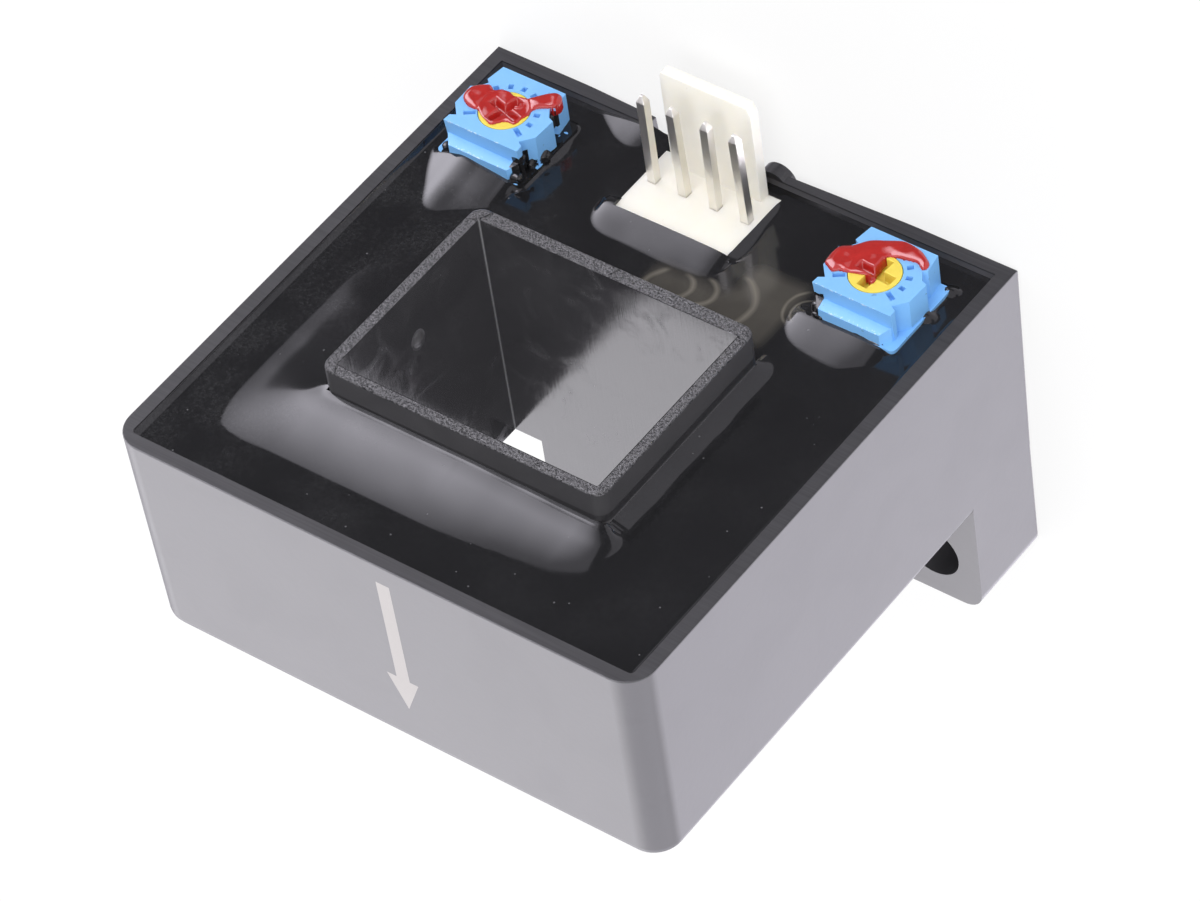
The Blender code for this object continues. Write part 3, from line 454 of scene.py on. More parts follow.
half = CASE_WIDTH / 2
case = block("case_moulding", (-half, FACE_Y, 0.0), (half, RIM_Y, CASE_HEIGHT))
taper(case, (half - CASE_DRAFT) / half, (CASE_HEIGHT - CASE_DRAFT) / CASE_HEIGHT, 0.0)
round_edges(case, along(1, lambda co: co.z > 0.02), 0.0021, 10)
round_edges(case, between(lambda co: co.y > RIM_Y - 0.0001), 0.00007, 2)
at_face = between(lambda co: co.y < FACE_Y + 0.0001)
round_edges(case, lambda edge: at_face(edge) and max(vert.co.z for vert in edge.verts) > 0.0003, 0.0009, 5)
foot = block("foot", (-half + CASE_DRAFT, FOOT_Y, 0.0),
             (half - CASE_DRAFT, FLOOR_Y - OVERLAP, FOOT_THICKNESS))
round_edges(foot, along(2, lambda co: co.y < FOOT_Y + 0.001), 0.0015, 8)
carve(case, foot, "UNION")
web_low, web_back = FOOT_THICKNESS / 2, FOOT_Y + 0.0012
web = outline_block(
    "web", [(FLOOR_Y - OVERLAP, web_low), (FLOOR_Y - OVERLAP, WEB_TOP), (FACE_Y - 0.0026, WEB_TOP),
            (web_back, FOOT_THICKNESS), (web_back, web_low)], -WEB_HALF, WEB_HALF, "X")
carve(case, web, "UNION")
cavity_half = half - RIM_WALL
cavity = block("cavity", (-cavity_half, FLOOR_Y, RIM_WALL),
               (cavity_half, RIM_Y + 0.001, CASE_HEIGHT - RIM_WALL))
taper(cavity, (cavity_half - INNER_DRAFT) / cavity_half, 1.0 - 2 * INNER_DRAFT / CASE_HEIGHT,
      CASE_HEIGHT / 2)
round_edges(cavity, along(1, lambda co: co.z > 0.02), 0.0003, 3)
carve(case, cavity)
tube_half = [size + COLLAR_WALL for size in APERTURE_HALF]
tube = block("tube", (-tube_half[0] - 0.00012, FLOOR_Y - OVERLAP, APERTURE_Z - tube_half[1] - 0.0003),
             (tube_half[0], COLLAR_TOP_Y, APERTURE_Z + tube_half[1]))
round_edges(tube, along(1), COLLAR_CORNER, 6)
round_edges(tube, between(lambda co: co.y > COLLAR_TOP_Y - 0.0001), 0.00022, 3)
carve(case, tube, "UNION")
carve(case, block("aperture", (-APERTURE_HALF[0], FOOT_Y - 0.002, APERTURE_Z - APERTURE_HALF[1]),
                  (APERTURE_HALF[0], COLLAR_TOP_Y + 0.002, APERTURE_Z + APERTURE_HALF[1])))
for side, end in ((-1, -1), (-1, 1), (1, -1), (1, 1)):
    for off_x, off_z in ((0.0083, APERTURE_HALF[1] - RECESS_INSET),
                         (APERTURE_HALF[0] - RECESS_INSET, 0.00545)):
        carve(case, rod("recess", (side * off_x, COLLAR_TOP_Y, APERTURE_Z + end * off_z), "Y",
                        RECESS_RADIUS, 2 * RECESS_DEPTH, 96))
hollow = outline_block("hollow", [(-0.0195, -0.0002), (0.0, 0.00055), (0.0195, -0.0002), (0.0, -0.002)],
                       RIM_Y - 0.0090, RIM_Y + 0.0002, "Y")
move(hollow, lambda vert: vert.co.z > 0.0003 and vert.co.y < RIM_Y - 0.001, (0.0, 0.0, -0.00075))
carve(case, hollow)
carve(case, block("notch", (-0.0076, RIM_Y - 0.0013, -0.001), (0.0010, RIM_Y + 0.001, 0.002)))
carve(case, rod("stub", (0.0023, RIM_Y - 0.00085, 0.0005), "Z", 0.00125, 0.0010), "UNION")
bpy.ops.mesh.primitive_uv_sphere_add(segments=24, ring_count=16, radius=0.0005,
                                     location=(-APERTURE_HALF[0] - 0.0001, RIM_Y - BUMP_DROP, BUMP_Z))
bpy.context.object.scale = (0.55, 1.4, 1.1)
flow_bump = start("flow_bump")
bpy.ops.object.shade_smooth()
for side in (-1, 1):
    carve(case, rod("hole", (side * HOLE_X, HOLE_Y, FOOT_THICKNESS / 2), "Z", HOLE_RADIUS, 0.01))
soften(case, 0.00007)
flow_bump.select_set(True)
bpy.ops.object.join()
case_finish = Finish("case_black_moulding", (0.045, 0.044, 0.048), 0.38, IOR=1.55)
# which part of the moulding a point is on, and the printed arrow
x, y, z = case_finish.axes()
bore = (abs(x) < 0.01036) * (abs(z - APERTURE_Z) < 0.00751) * (y < COLLAR_TOP_Y - 0.00005)
collar_top = (y > COLLAR_TOP_Y - 0.0002) * (1.0 - bore)
rim_top = (y > RIM_Y - 0.00012) * (y < RIM_Y + 0.0005) * (1.0 - bore)
collar_side = (y > RIM_Y + 0.0005) * (1.0 - bore)
shaft = (abs(x - 0.00098) < 0.00053) * (y > 0.0024) * (y < 0.01155)
head = (abs(x - 0.00093) * 2.33 < y + 0.00051) * (y < 0.00243)
arrow = shaft.maths("MAXIMUM", shaft, head) * (z > 0.0405)
# drag marks down the bore and along the rim, cloudy wear, grain, and grit on the collar
streaks = case_finish.noise(0.0004, 4.0, 0.6, point=case_finish.stretched(3.0, 0.12, 3.0))
lengthways = case_finish.noise(0.0008, 4.0, 0.7, point=case_finish.stretched(0.1, 4.0, 6.0))
cloud = case_finish.noise(0.006, 4.0, 0.6, 0.6)
grain = case_finish.noise(0.0006, 3.0, 0.6)
grit = case_finish.noise(0.00016, 2.0, 0.6)
smudge = (case_finish.noise(0.0035, 5.0, 0.65, 1.2) - 0.5).clamp()
roughness = 0.36 + (cloud - 0.5) * 0.12
roughness = roughness + bore * (0.13 + (streaks - 0.5) * 0.1 + smudge * 0.9 - roughness)
roughness = roughness + collar_top * (0.42 - roughness)
shade = 0.75 + cloud * 0.5
# painted shade: the collar's outer sides and the rim's top are painted darker than the rest of the moulding,
# and the rim's top keeps drag marks along it
shade = shade - collar_side * 0.45 + rim_top * (0.22 + (lengthways - 0.5) * 0.7 - shade)
# painted shade: the bore is painted much darker, less where the smudges lie; the collar's top takes its grit
shade = shade + collar_top * (0.70 + (grit - 0.5) * 6.0 - shade) - bore * (0.85 - smudge * 1.2)
# the flow mark in the bore: a rough bump, and above it a dark spot painted as the shade of a pit that is not
# modelled
painted_pit_shade = ((y - RIM_Y + 0.0036).power(2.0) * 0.4 + (z - 0.0233).power(2.0)).power(0.5) < 0.00022
shade = shade - painted_pit_shade * (x < 0.0) * bore
off_bump = [(x + 0.0102) * 1.4, (y - RIM_Y + BUMP_DROP) * 0.8, z - BUMP_Z]
lump = (off_bump[0].power(2.0) + off_bump[1].power(2.0) + off_bump[2].power(2.0)).power(0.5) < 0.0007
# painted highlight: the bump's upper half is painted lighter
shade = shade + lump * bore * (y > RIM_Y - 0.0022) * 1.6
roughness = roughness + lump * bore * 0.35
tone = case_finish.mix(shade.clamp(), (0.006, 0.006, 0.007), (0.085, 0.083, 0.089))
relief = case_finish.bump(grain * (1.0 - bore) + streaks * bore, 0.000005)
relief = case_finish.bump(grit * collar_top, 0.00016, relief)
print_edge = case_finish.noise(0.00012, 2.0) * 0.12
tone = case_finish.mix(arrow * (0.93 - print_edge), tone, (0.34, 0.315, 0.30))
# a lighter line painted down the bore's lower left corner
corner_line = 1.0 - (abs(x + APERTURE_HALF[0]) + abs(z - APERTURE_Z + APERTURE_HALF[1])) / 0.00013
tone = case_finish.mix(corner_line.clamp() * (y < COLLAR_TOP_Y) * 0.6, tone, (0.5, 0.5, 0.52))
coat(case, case_finish.feed(Base_Color=tone, Roughness=roughness, Normal=relief))
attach(case, "root")
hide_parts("case")


# Potting: a glossy black casting resin, poured up to just under the rim. It climbs the collar,
# the rim, the trimmers and the connector, and sags a little between them.
POTTING_Y = RIM_Y - 0.0007
ARC_REACH = 0.0053
RIGHT_BANK = (0.0132, 0.0312)
TRIMMER_X = (-0.0152, 0.01445)
TRIMMER_Z = 0.0064
# pools: the wall that each climbs, in metres, and the points of its edge, in millimetres
FRONT_POOLS = [
    (0.0097, [(-19.6, 9.6), (-18.7, 11.4), (-17.4, 13.3), (-16.4, 14.5), (-14.9, 13.7), (-13.2, 12.5),
              (-12.4, 11.6), (-12.1, 9.6)]),
    (0.0097, [(10.0, 9.6), (10.5, 11.2), (12.0, 12.3), (14.2, 12.6), (16.3, 12.2), (17.4, 11.2),
              (17.5, 9.6)]),
    (0.0079, [(-6.6, 7.9), (-6.3, 9.3), (-5.2, 10.2), (-3.0, 10.4), (1.6, 10.4), (3.2, 10.1), (3.9, 9.2),
              (4.1, 7.9)]),
    (0.0004, [(-14.2, 0.7), (-12.2, 1.5), (-10.4, 2.6), (-9.0, 3.3), (-7.8, 3.4), (-6.8, 2.4), (-6.0, 0.7)]),
    (0.0004, [(3.6, 0.8), (5.2, 1.8), (7.4, 1.9), (9.8, 0.8)]),
]
SIDE_POOLS = [
    (-0.0119, [(2.4, -13.2), (3.2, -11.8), (4.8, -11.05), (6.6, -11.1), (8.2, -11.6), (9.4, -12.4)]),
    (0.0037, [(1.9, 3.6), (2.4, 4.35), (5.0, 4.45), (7.8, 4.45), (8.6, 3.6)]),
]
# low ridges: both ends and the rise
RIDGES = [(0.0188, 0.0102, 0.0178, 0.0132, 0.00009), (0.0168, 0.0300, 0.0167, 0.0350, 0.00006)]
# splashes: which trimmer, the middle from that trimmer's at the rim, and the radii, in millimetres
SPLASHES = [
    (0, 2.72, 0.3, 1.9, 0.26, 0.8, 0.32), (0, 3.05, -0.2, 1.4, 0.3, 0.5, 0.45),
    (0, 2.66, 1.15, -1.45, 0.22, 0.55, 0.24), (0, 2.9, -0.2, 2.95, 0.45, 0.5, 0.42),
    (0, 3.3, -0.1, 0.5, 0.3, 0.45, 0.5), (0, -3.3, -0.4, -0.5, 0.3, 0.4, 0.5),
    (1, -2.7, 0.7, 1.85, 0.26, 1.0, 0.3), (1, -2.72, 0.0, 2.75, 0.4, 0.66, 0.42),
    (1, -2.4, -0.3, 3.15, 0.5, 0.36, 0.3), (1, -2.62, 1.5, -1.6, 0.2, 0.3, 0.26),
    (0, -3.0, -0.2, 2.8, 0.25, 0.35, 0.3), (1, 1.9, -0.45, 3.25, 0.9, 0.25, 0.22),
]


def outside(x, z, centre, reach, corner=0.0):
    """How far a point lies outside a rectangle with round corners; negative inside it."""
    u = abs(x - centre[0]) - reach[0] + corner
    w = abs(z - centre[1]) - reach[1] + corner
    return math.hypot(max(u, 0.0), max(w, 0.0)) + min(max(u, w), 0.0) - corner


def bank(away, rise, width, power=2.0):
    """The height of a bank that is steepest at the wall and ends level after its width."""
    return rise * max(0.0, 1.0 - max(away, 0.0) / width) ** power


def pool(name, low, high, step, level, height, wanted, thick, close):
    """A liquid's surface on a fine grid: shaped point by point, trimmed, then given thickness."""
    bpy.ops.mesh.primitive_grid_add(
        x_subdivisions=round((high[0] - low[0]) / step), y_subdivisions=round((high[1] - low[1]) / step),
        size=1.0, location=((low[0] + high[0]) / 2, level, (low[1] + high[1]) / 2),
        rotation=(-math.pi / 2, 0.0, 0.0))
    bpy.context.object.scale = (high[0] - low[0], high[1] - low[1], 1.0)
    piece = start(name)
    edit(piece, "VERT", lambda vert: not wanted(vert.co.x, vert.co.z))
    bpy.ops.mesh.delete(type="VERT")
    alone(piece)
    for vert in piece.data.vertices:
        vert.co.y += height(vert.co.x, vert.co.z)
    edit(piece, "EDGE", lambda edge: edge.is_boundary)
    bpy.ops.mesh.extrude_region_move(TRANSFORM_OT_translate={"value": (0.0, -thick, 0.0)})
    bpy.ops.transform.resize(value=(1.0, 0.0, 1.0), center_override=(0.0, level - thick, 0.0))
    close()
    bpy.ops.mesh.select_all(action="SELECT")
    bpy.ops.mesh.normals_make_consistent(inside=False)
    alone(piece)
    bpy.ops.object.shade_smooth_by_angle(angle=math.radians(60.0))
    return piece


def smooth_step(low, high, value):
    """0 below low, 1 above high, and an S between them."""
    share = min(max((value - low) / (high - low), 0.0), 1.0)
    return share * share * (3.0 - 2.0 * share)


def dome(x, z, centre, radius, rise):
    """The height of a soft round hump."""
    return rise * math.exp(-((x - centre[0]) ** 2 + (z - centre[1]) ** 2) / radius ** 2)


def reach_at(x, border):
    """How far a pool's edge reaches at x, along a smooth line through its points in millimetres."""
    x *= 1000.0
    if not border[0][0] < x < border[-1][0]:
        return -1.0
    index = next(place for place, (end, _) in enumerate(border) if x <= end)
    (x1, z1), (x2, z2) = border[index - 1:index + 1]
    before, after = border[max(index - 2, 0)], border[min(index + 1, len(border) - 1)]
    t = (x - x1) / (x2 - x1)
    in_slope = (z2 - before[1]) / (x2 - before[0]) * (x2 - x1)
    out_slope = (after[1] - z1) / (after[0] - x1) * (x2 - x1)
    value = (z1 * (1 + 2 * t) * (1 - t) ** 2 + in_slope * t * (1 - t) ** 2
             + z2 * t * t * (3 - 2 * t) + out_slope * t * t * (t - 1))
    return value * 0.001


def ramp_up(over, slope, curve):
    """A slope that starts at once at the pool's edge and steepens towards the wall it climbs."""
    return max(over, 0.0) * slope + 0.5 * curve * max(over, 0.0) ** 2


def potting_height(x, z):
    """How far the set resin stands above its level."""
    # the way out from the collar's wall, round its corners
    u, w = abs(x) - tube_half[0] + COLLAR_CORNER, abs(z - APERTURE_Z) - tube_half[1] + COLLAR_CORNER
    corner = 4.0 if x < 0.0 else 2.4
    away = (max(u, 0.0) ** corner + max(w, 0.0) ** corner) ** (1.0 / corner)
    away = max(away + min(max(u, w), 0.0) - COLLAR_CORNER, 0.0)
    wave = 0.00012 * noise.noise(Vector((x, 0.0, z)) * 420.0)
    facing = smooth_step(0.2, 0.8, w / max(u, w, 0.0001)) if z > APERTURE_Z else 0.0
    # the wide climb to the collar's upper side, which levels out again at the wall
    if x < 0.0:
        lift = smooth_step(0.0165, 0.0235, z) * (smooth_step(0.004, 0.0105, -x) if z < APERTURE_Z else 1.0)
        front = ARC_REACH + 0.0004 * smooth_step(-0.0110, -0.0150, x)
        height = ramp_up(front + 0.0009 + 0.4 * wave - away, 0.046 * lift, 38.0 * lift)
    else:
        front = ARC_REACH - 0.0013 * smooth_step(0.0, 0.0110, x) - 0.0007 * smooth_step(0.0095, 0.0125, x)
        facing *= 1.0 - smooth_step(0.0118, 0.0130, x)
        height = facing * ramp_up(front + 0.0009 + 0.4 * wave - away, 0.08 - 0.00018 / front, 0.20 / front)
    height -= 40.0 * facing * max(0.0014 - away, 0.0) ** 2
    # the steep bank on the collar's right, and a thin wet edge all round
    if x > 0.0108 and RIGHT_BANK[0] < z < RIGHT_BANK[1]:
        ends = min(z - RIGHT_BANK[0], RIGHT_BANK[1] - z) / 0.0008
        height = max(height, ramp_up(0.0013 * min(ends, 1.0) ** 0.5 + wave - away, 0.26, 60.0))
    wet = 1.0 + 0.5 * noise.noise(Vector((x, 3.0, z)) * 300.0)
    height += bank(away, 0.00004 * wet, 0.0004)
    # pools, a bead round each trimmer with two drops beside the right one, and low ridges
    for wall, border in FRONT_POOLS:
        pool_reach = reach_at(x, border)
        over = min(pool_reach - z, pool_reach - wall) + wave
        height = max(height, ramp_up(over, 0.15, 16.0) * smooth_step(wall - 0.0012, wall - 0.0002, z))
    for wall, border in SIDE_POOLS:
        pool_reach = reach_at(z, border)
        over = min(pool_reach - x, pool_reach - wall) if pool_reach > -1.0 else 0.0
        height = max(height, ramp_up(over, 0.26, 60.0) * smooth_step(wall - 0.0012, wall - 0.0002, x))
    for trimmer_x in TRIMMER_X:
        beside = outside(x, z, (trimmer_x, TRIMMER_Z), (0.0033, 0.0033), 0.0004)
        height = max(height, bank(beside, 0.0003, 0.0005))
    height += dome(x, z, (TRIMMER_X[1] + 0.0036, TRIMMER_Z - 0.0032), 0.00045, 0.0004)
    height += dome(x, z, (TRIMMER_X[1] + 0.0036, TRIMMER_Z - 0.0005), 0.0005, 0.0004)
    for x0, z0, x1, z1, rise in RIDGES:
        u, w = x1 - x0, z1 - z0
        share = min(max(((x - x0) * u + (z - z0) * w) / (u ** 2 + w ** 2), 0.0), 1.0)
        rise *= math.sin(math.pi * (0.15 + 0.7 * share))
        height += dome(x, z, (x0 + u * share, z0 + w * share), 0.00035, rise)
    # the climb up the case's walls, less along the base; under the header the resin stays low
    rim = -outside(x, z, (0.0, CASE_HEIGHT / 2), (half - RIM_WALL, CASE_HEIGHT / 2 - RIM_WALL), 0.0003)
    sides = smooth_step(0.002, 0.006, z)
    climb = bank(rim, 0.00012 + 0.00008 * sides, 0.0045, 1.0) + bank(rim, 0.00040 * sides, 0.00028)
    under_header = outside(x, z, (-0.00093, 0.00495), (0.00464, 0.0030)) <= -0.0001
    return -0.0012 if under_header else max(height, climb)


potting = pool(
    "potting_resin", (-half + RIM_WALL - 0.0002, RIM_WALL - 0.0002),
    (half - RIM_WALL + 0.0002, CASE_HEIGHT - RIM_WALL + 0.0002), 0.00018, POTTING_Y, potting_height,
    lambda x, z: outside(x, z, (0.0, APERTURE_Z), tube_half) > -0.0002, 0.004,
    bpy.ops.mesh.bridge_edge_loops)
splashes = []
for which, off_x, off_y, off_z, *radii in SPLASHES:
    bpy.ops.mesh.primitive_ico_sphere_add(subdivisions=4, radius=1.0)
    blob = bpy.context.object
    blob.scale = [radius * 0.001 for radius in radii]
    blob.location = (TRIMMER_X[which] + off_x * 0.001, RIM_Y + off_y * 0.001, TRIMMER_Z + off_z * 0.001)
    blob = start("splash")
    for vert in blob.data.vertices:
        vert.co += vert.normal * 0.00020 * noise.noise(vert.co * 1800.0)
    bpy.ops.object.shade_smooth()
    splashes.append(blob)
alone(potting)
for blob in splashes:
    blob.select_set(True)
bpy.ops.object.join()
potting_finish = Finish("potting_gloss", (0.008, 0.008, 0.009), 0.07, IOR=1.5)
x, y, z = potting_finish.axes()
warp = potting_finish.noise(0.0030, 2.0, 0.5)


def flow_reflection_line(centre_x, centre_z, radius, width, low_x, high_x, low_z):
    """A lighter curved line, painted where the pour's marks show in reflection: part of a ring, faint at its
    edges.
    """
    ring = ((x - centre_x).power(2.0) + (z - centre_z).power(2.0)).power(0.5) + (warp - 0.5) * 0.0006
    line = (1.0 - abs(ring - radius) / width).clamp()
    for inside in (x - low_x, high_x - x, z - low_z):
        line = line * (inside * 2500.0).clamp()
    return line


# the pour's swirl: a brownish patch and lighter curved lines, painted reflection of the flow marks in the
# resin's surface; the roughness follows them too
lines = (flow_reflection_line(0.0050, 0.0113, 0.0027, 0.00034, 0.0055, 0.0084, 0.0084)
         + flow_reflection_line(0.0036, 0.0113, 0.00135, 0.00028, 0.0036, 0.0060, 0.0097)
         + flow_reflection_line(0.0022, 0.0115, 0.0011, 0.0003, 0.0020, 0.0040, 0.0102)
         + flow_reflection_line(0.0026, 0.0126, 0.0025, 0.0003, -0.0010, 0.0012, 0.0104)
         + flow_reflection_line(0.0112, 0.0092, 0.0019, 0.00016, 0.0090, 0.0104, 0.0076)
         + flow_reflection_line(0.0112, 0.0094, 0.0013, 0.00014, 0.0092, 0.0108, 0.0078))
reflection_patch = (((x - 0.0052) * 900.0).clamp() * ((0.0104 - x) * 1200.0).clamp() * ((z - 0.0070) * 900.0).clamp()
         + ((x + 0.0004) * 900.0).clamp() * ((0.0080 - x) * 900.0).clamp() * ((z - 0.0098) * 700.0).clamp())
reflection_patch = reflection_patch.clamp() * ((0.0140 - z) * 1000.0).clamp() * (0.45 + warp * 0.9)
flow_and_reflection = (reflection_patch * 0.42 + lines * (0.35 + warp * 0.5)).clamp()
# a dull film that is strongest at the left, and settled dust
haze = potting_finish.noise(0.00025, 4.0, 0.8) * potting_finish.noise(0.006, 2.0)
haze = ((haze - 0.22) * 3.0).clamp() * (0.35 + (x * -60.0).clamp() * 0.65)
dust = potting_finish.add("TexVoronoi", {"feature": "F1"}, {"Vector": potting_finish.place(), "Scale": 900.0})
specks = ((0.07 - dust) * 40.0).clamp() * (potting_finish.noise(0.0018, 1.0) > 0.52)
# the swirl's painted reflection, then the dull film and the dust
tone = potting_finish.mix(flow_and_reflection, (0.008, 0.008, 0.009), (0.135, 0.122, 0.102))
tone = potting_finish.mix((haze * 0.10 + specks * 0.22).clamp(), tone, (0.30, 0.30, 0.32))
coat(potting, potting_finish.feed(
    Base_Color=tone, Roughness=0.095 + flow_and_reflection * 0.15 + haze * 0.08 + specks * 0.3))
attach(potting, "root")
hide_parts("potting_compound")


# Connector: a header moulded in natural nylon, with a thin wall behind the pins for the mating
# plug's friction lock. It stands on the board, and the potting holds its foot.
HEADER_TOP_Y = RIM_Y - 0.0006
HEADER_LOW_Z = 0.00195
LOCK_THICKNESS = 0.00085
PIN_ROOM_HALF = 0.00034
PIN_ROW_X = -0.00093
PIN_ROW_Z = 0.00456
PIN_PITCH = 0.0025
header = block("header_moulding", (-0.00557, 0.0100, HEADER_LOW_Z), (0.00371, HEADER_TOP_Y, 0.00795))
lock = outline_block("lock", [(-0.00453, HEADER_TOP_Y - 0.0003), (0.00267, HEADER_TOP_Y - 0.0003),
                              (0.00267, HEADER_TOP_Y + 0.0076), (0.00238, HEADER_TOP_Y + 0.0083),
                              (-0.00441, HEADER_TOP_Y + 0.0083), (-0.00453, HEADER_TOP_Y + 0.0080)],
                     HEADER_LOW_Z, HEADER_LOW_Z + LOCK_THICKNESS, "Z")
carve(header, lock, "UNION")
pin_places = [PIN_ROW_X + PIN_PITCH * (index - 1.5) for index in range(4)]
for pin_x in pin_places:
    carve(header, block("hole", (pin_x - PIN_ROOM_HALF, HEADER_TOP_Y - 0.001, PIN_ROW_Z - PIN_ROOM_HALF),
                        (pin_x + PIN_ROOM_HALF, HEADER_TOP_Y + 0.001, PIN_ROW_Z + PIN_ROOM_HALF)))
carve(header, block("step", (-0.0018, HEADER_TOP_Y - 0.0012, 0.00787),
                    (-0.0003, HEADER_TOP_Y + 0.001, 0.0085)))
soften(header, 0.00006)
header_finish = Finish("header_natural_nylon", (0.90, 0.865, 0.785), 0.36, Subsurface_Weight=0.35,
                       Subsurface_Scale=0.002, Subsurface_Radius=(1.0, 0.85, 0.6))
mottle = header_finish.noise(0.0025, 3.0, 0.6)
stain = (header_finish.noise(0.0007, 2.0, 0.6) - 0.71).clamp() * 6.0
tone = header_finish.mix(mottle, (0.88, 0.84, 0.755), (0.92, 0.89, 0.82))
tone = header_finish.mix(stain.clamp() * 0.5, tone, (0.42, 0.36, 0.27))
coat(header, header_finish.feed(
    Base_Color=tone, Roughness=0.32 + mottle * 0.1, Normal=header_finish.bump(mottle, 0.00003)))
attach(header, "root")
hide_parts("connector_base")


# Pins: square brass wire plated with bright tin, both ends pressed to a blunt point. They are
# pushed through the header, soldered to the board, and stand at slightly different angles.
PIN_HALF = 0.00032
PIN_TOP_Y = HEADER_TOP_Y + 0.0076
PIN_LOW_Y = 0.0069
PIN_POINT = 0.0005
PIN_POINT_SCALE = 0.32
PIN_LEANS = (0.0, -1.2, 0.4, -1.4)
pin_model = block("pin_model", (-PIN_HALF, PIN_LOW_Y + PIN_POINT - HEADER_TOP_Y, -PIN_HALF),
                  (PIN_HALF, PIN_TOP_Y - PIN_POINT - HEADER_TOP_Y, PIN_HALF))
for direction, end in ((1, PIN_TOP_Y), (-1, PIN_LOW_Y)):
    edit(pin_model, "FACE", lambda face: face.normal.y * direction > 0.9)
    bpy.ops.mesh.extrude_region_move(TRANSFORM_OT_translate={"value": (0.0, direction * PIN_POINT, 0.0)})
    bpy.ops.transform.resize(value=(PIN_POINT_SCALE, 1.0, PIN_POINT_SCALE),
                             center_override=(0.0, end - HEADER_TOP_Y, 0.0))
    alone(pin_model)
soften(pin_model, 0.00002, 1, 20.0)
pin_finish = Finish("pin_bright_tin", (0.80, 0.78, 0.73), 0.2, Metallic=1.0)
drawn = pin_finish.noise(0.0005, 3.0, 0.6, point=pin_finish.stretched(2.0, 0.4, 2.0))
tips = pin_finish.axes()[1] > PIN_TOP_Y - PIN_POINT
coat(pin_model, pin_finish.feed(
    Roughness=0.24 + drawn * 0.16 + tips * 0.1, Normal=pin_finish.bump(drawn, 0.00002)))


def copied(model, name, place, turn=(0.0, 0.0, 0.0)):
    """A copy with its own mesh, turned and set in its place."""
    alone(model)
    bpy.ops.object.duplicate(linked=False)
    piece = bpy.context.object
    piece.location, piece.rotation_euler = place, turn
    return start(name)


for number, (pin_x, lean) in enumerate(zip(pin_places, PIN_LEANS), 1):
    pin = copied(pin_model, f"header_pin_{number}", (pin_x, HEADER_TOP_Y, PIN_ROW_Z),
                 (0.0, 0.0, -math.radians(lean)))
    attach(pin, "root")
    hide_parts(f"connector_pin_{number}")
bpy.data.objects.remove(pin_model)


# Trimmers: square bodies moulded in blue, with a flange at the foot, notched corners and a lip in
# front. A ring of pits is the rotor's scale. Their legs are soldered to the board.
TRIMMER_TOP_Y = RIM_Y + 0.0021
TRIMMER_LOW_Y = RIM_Y - 0.0006
TRIMMER_SIDE = [(0.00258, -0.0033), (0.0028, -0.00185), (0.0025, -0.00165), (0.00295, -0.00095),
                (0.0034, -0.00078), (0.00332, 0.00102), (0.00257, 0.00188), (0.00298, 0.00212),
                (0.00302, 0.00268)]
LIP = [(-0.0029, 0.0020), (0.0029, 0.0020), (0.0029, 0.00262), (0.0024, 0.0033), (-0.0024, 0.0033),
       (-0.0029, 0.00262)]
BORE_RADIUS = 0.0018
PIT_STEP = 24.5
PIT_MIDDLE = -91.5
PIT_COUNT = 11
PIT_HALF = 0.00018
body = outline_block("trimmer_model", TRIMMER_SIDE + [(-x, z) for x, z in reversed(TRIMMER_SIDE)],
                     TRIMMER_LOW_Y, TRIMMER_TOP_Y, "Y")
move(body, lambda vert: vert.co.z > 0.0025 and vert.co.y < RIM_Y, (0.0, 0.0, -0.00028))
lip = outline_block("lip", LIP, TRIMMER_LOW_Y, RIM_Y + 0.00088, "Y")
move(lip, lambda vert: vert.co.y > RIM_Y and vert.co.z > 0.003, (0.0, -0.0003, 0.0))
carve(body, lip, "UNION")
flange = block("flange", (-0.0035, RIM_Y - 0.00062, -0.0032), (0.0035, RIM_Y - 0.0003, 0.0034))
round_edges(flange, along(1), 0.0004, 4)
carve(body, flange, "UNION")
carve(body, rod("bore", (0.0, TRIMMER_TOP_Y, 0.0), "Y", BORE_RADIUS, 0.0020, 64))
pits = []
for index in range(PIT_COUNT):
    reach = (0.0019, 0.00272) if index in (0, PIT_COUNT - 1) else (0.00204, 0.00248)
    pit = block("pit", (reach[0], TRIMMER_TOP_Y - 0.0005, -PIT_HALF),
                (reach[1], TRIMMER_TOP_Y + 0.0003, PIT_HALF))
    pit.rotation_euler = (0.0, -math.radians(PIT_MIDDLE + PIT_STEP * (index - (PIT_COUNT - 1) / 2)), 0.0)
    pits.append(start("pit"))
for pit in pits:
    pit.select_set(True)
bpy.ops.object.join()
carve(body, bpy.context.object)
soften(body, 0.00005, 2, 16.0)
trimmer_finish = Finish("trimmer_blue_moulding", (0.20, 0.47, 0.86), 0.36, IOR=1.5)
x, y, z = trimmer_finish.axes()
local_x = x + (x < 0.0) * (TRIMMER_X[1] - TRIMMER_X[0]) - TRIMMER_X[1]
local_z = z - TRIMMER_Z
chips = trimmer_finish.noise(0.00018, 3.0, 0.7)
patchy = trimmer_finish.noise(0.0011, 2.0, 0.6)
# chipped edges, resin that splashed on the bodies with a ragged border, and the left one's side notch painted
# near black
edge_line = (1.0 - abs(local_z - 0.00268) / 0.0001).clamp() * (y > TRIMMER_TOP_Y - 0.00012)
edge_line = edge_line + (1.0 - abs(y - RIM_Y - 0.00058) / 0.0001).clamp() * (local_z > 0.0031)
worn = (edge_line * (chips > 0.55) * (patchy > 0.5)).clamp()
splash = trimmer_finish.noise(0.0016, 2.0, 0.5)
ragged = (splash - 0.5) * 0.0016
left_one = x < 0.0
right_one = 1.0 - left_one
lip_corner = left_one * (local_x > 0.0024) * (local_z > 0.0015) * (local_z < 0.0030)
far_corner = right_one * (local_x < -0.0023) * (local_z > 0.0014)
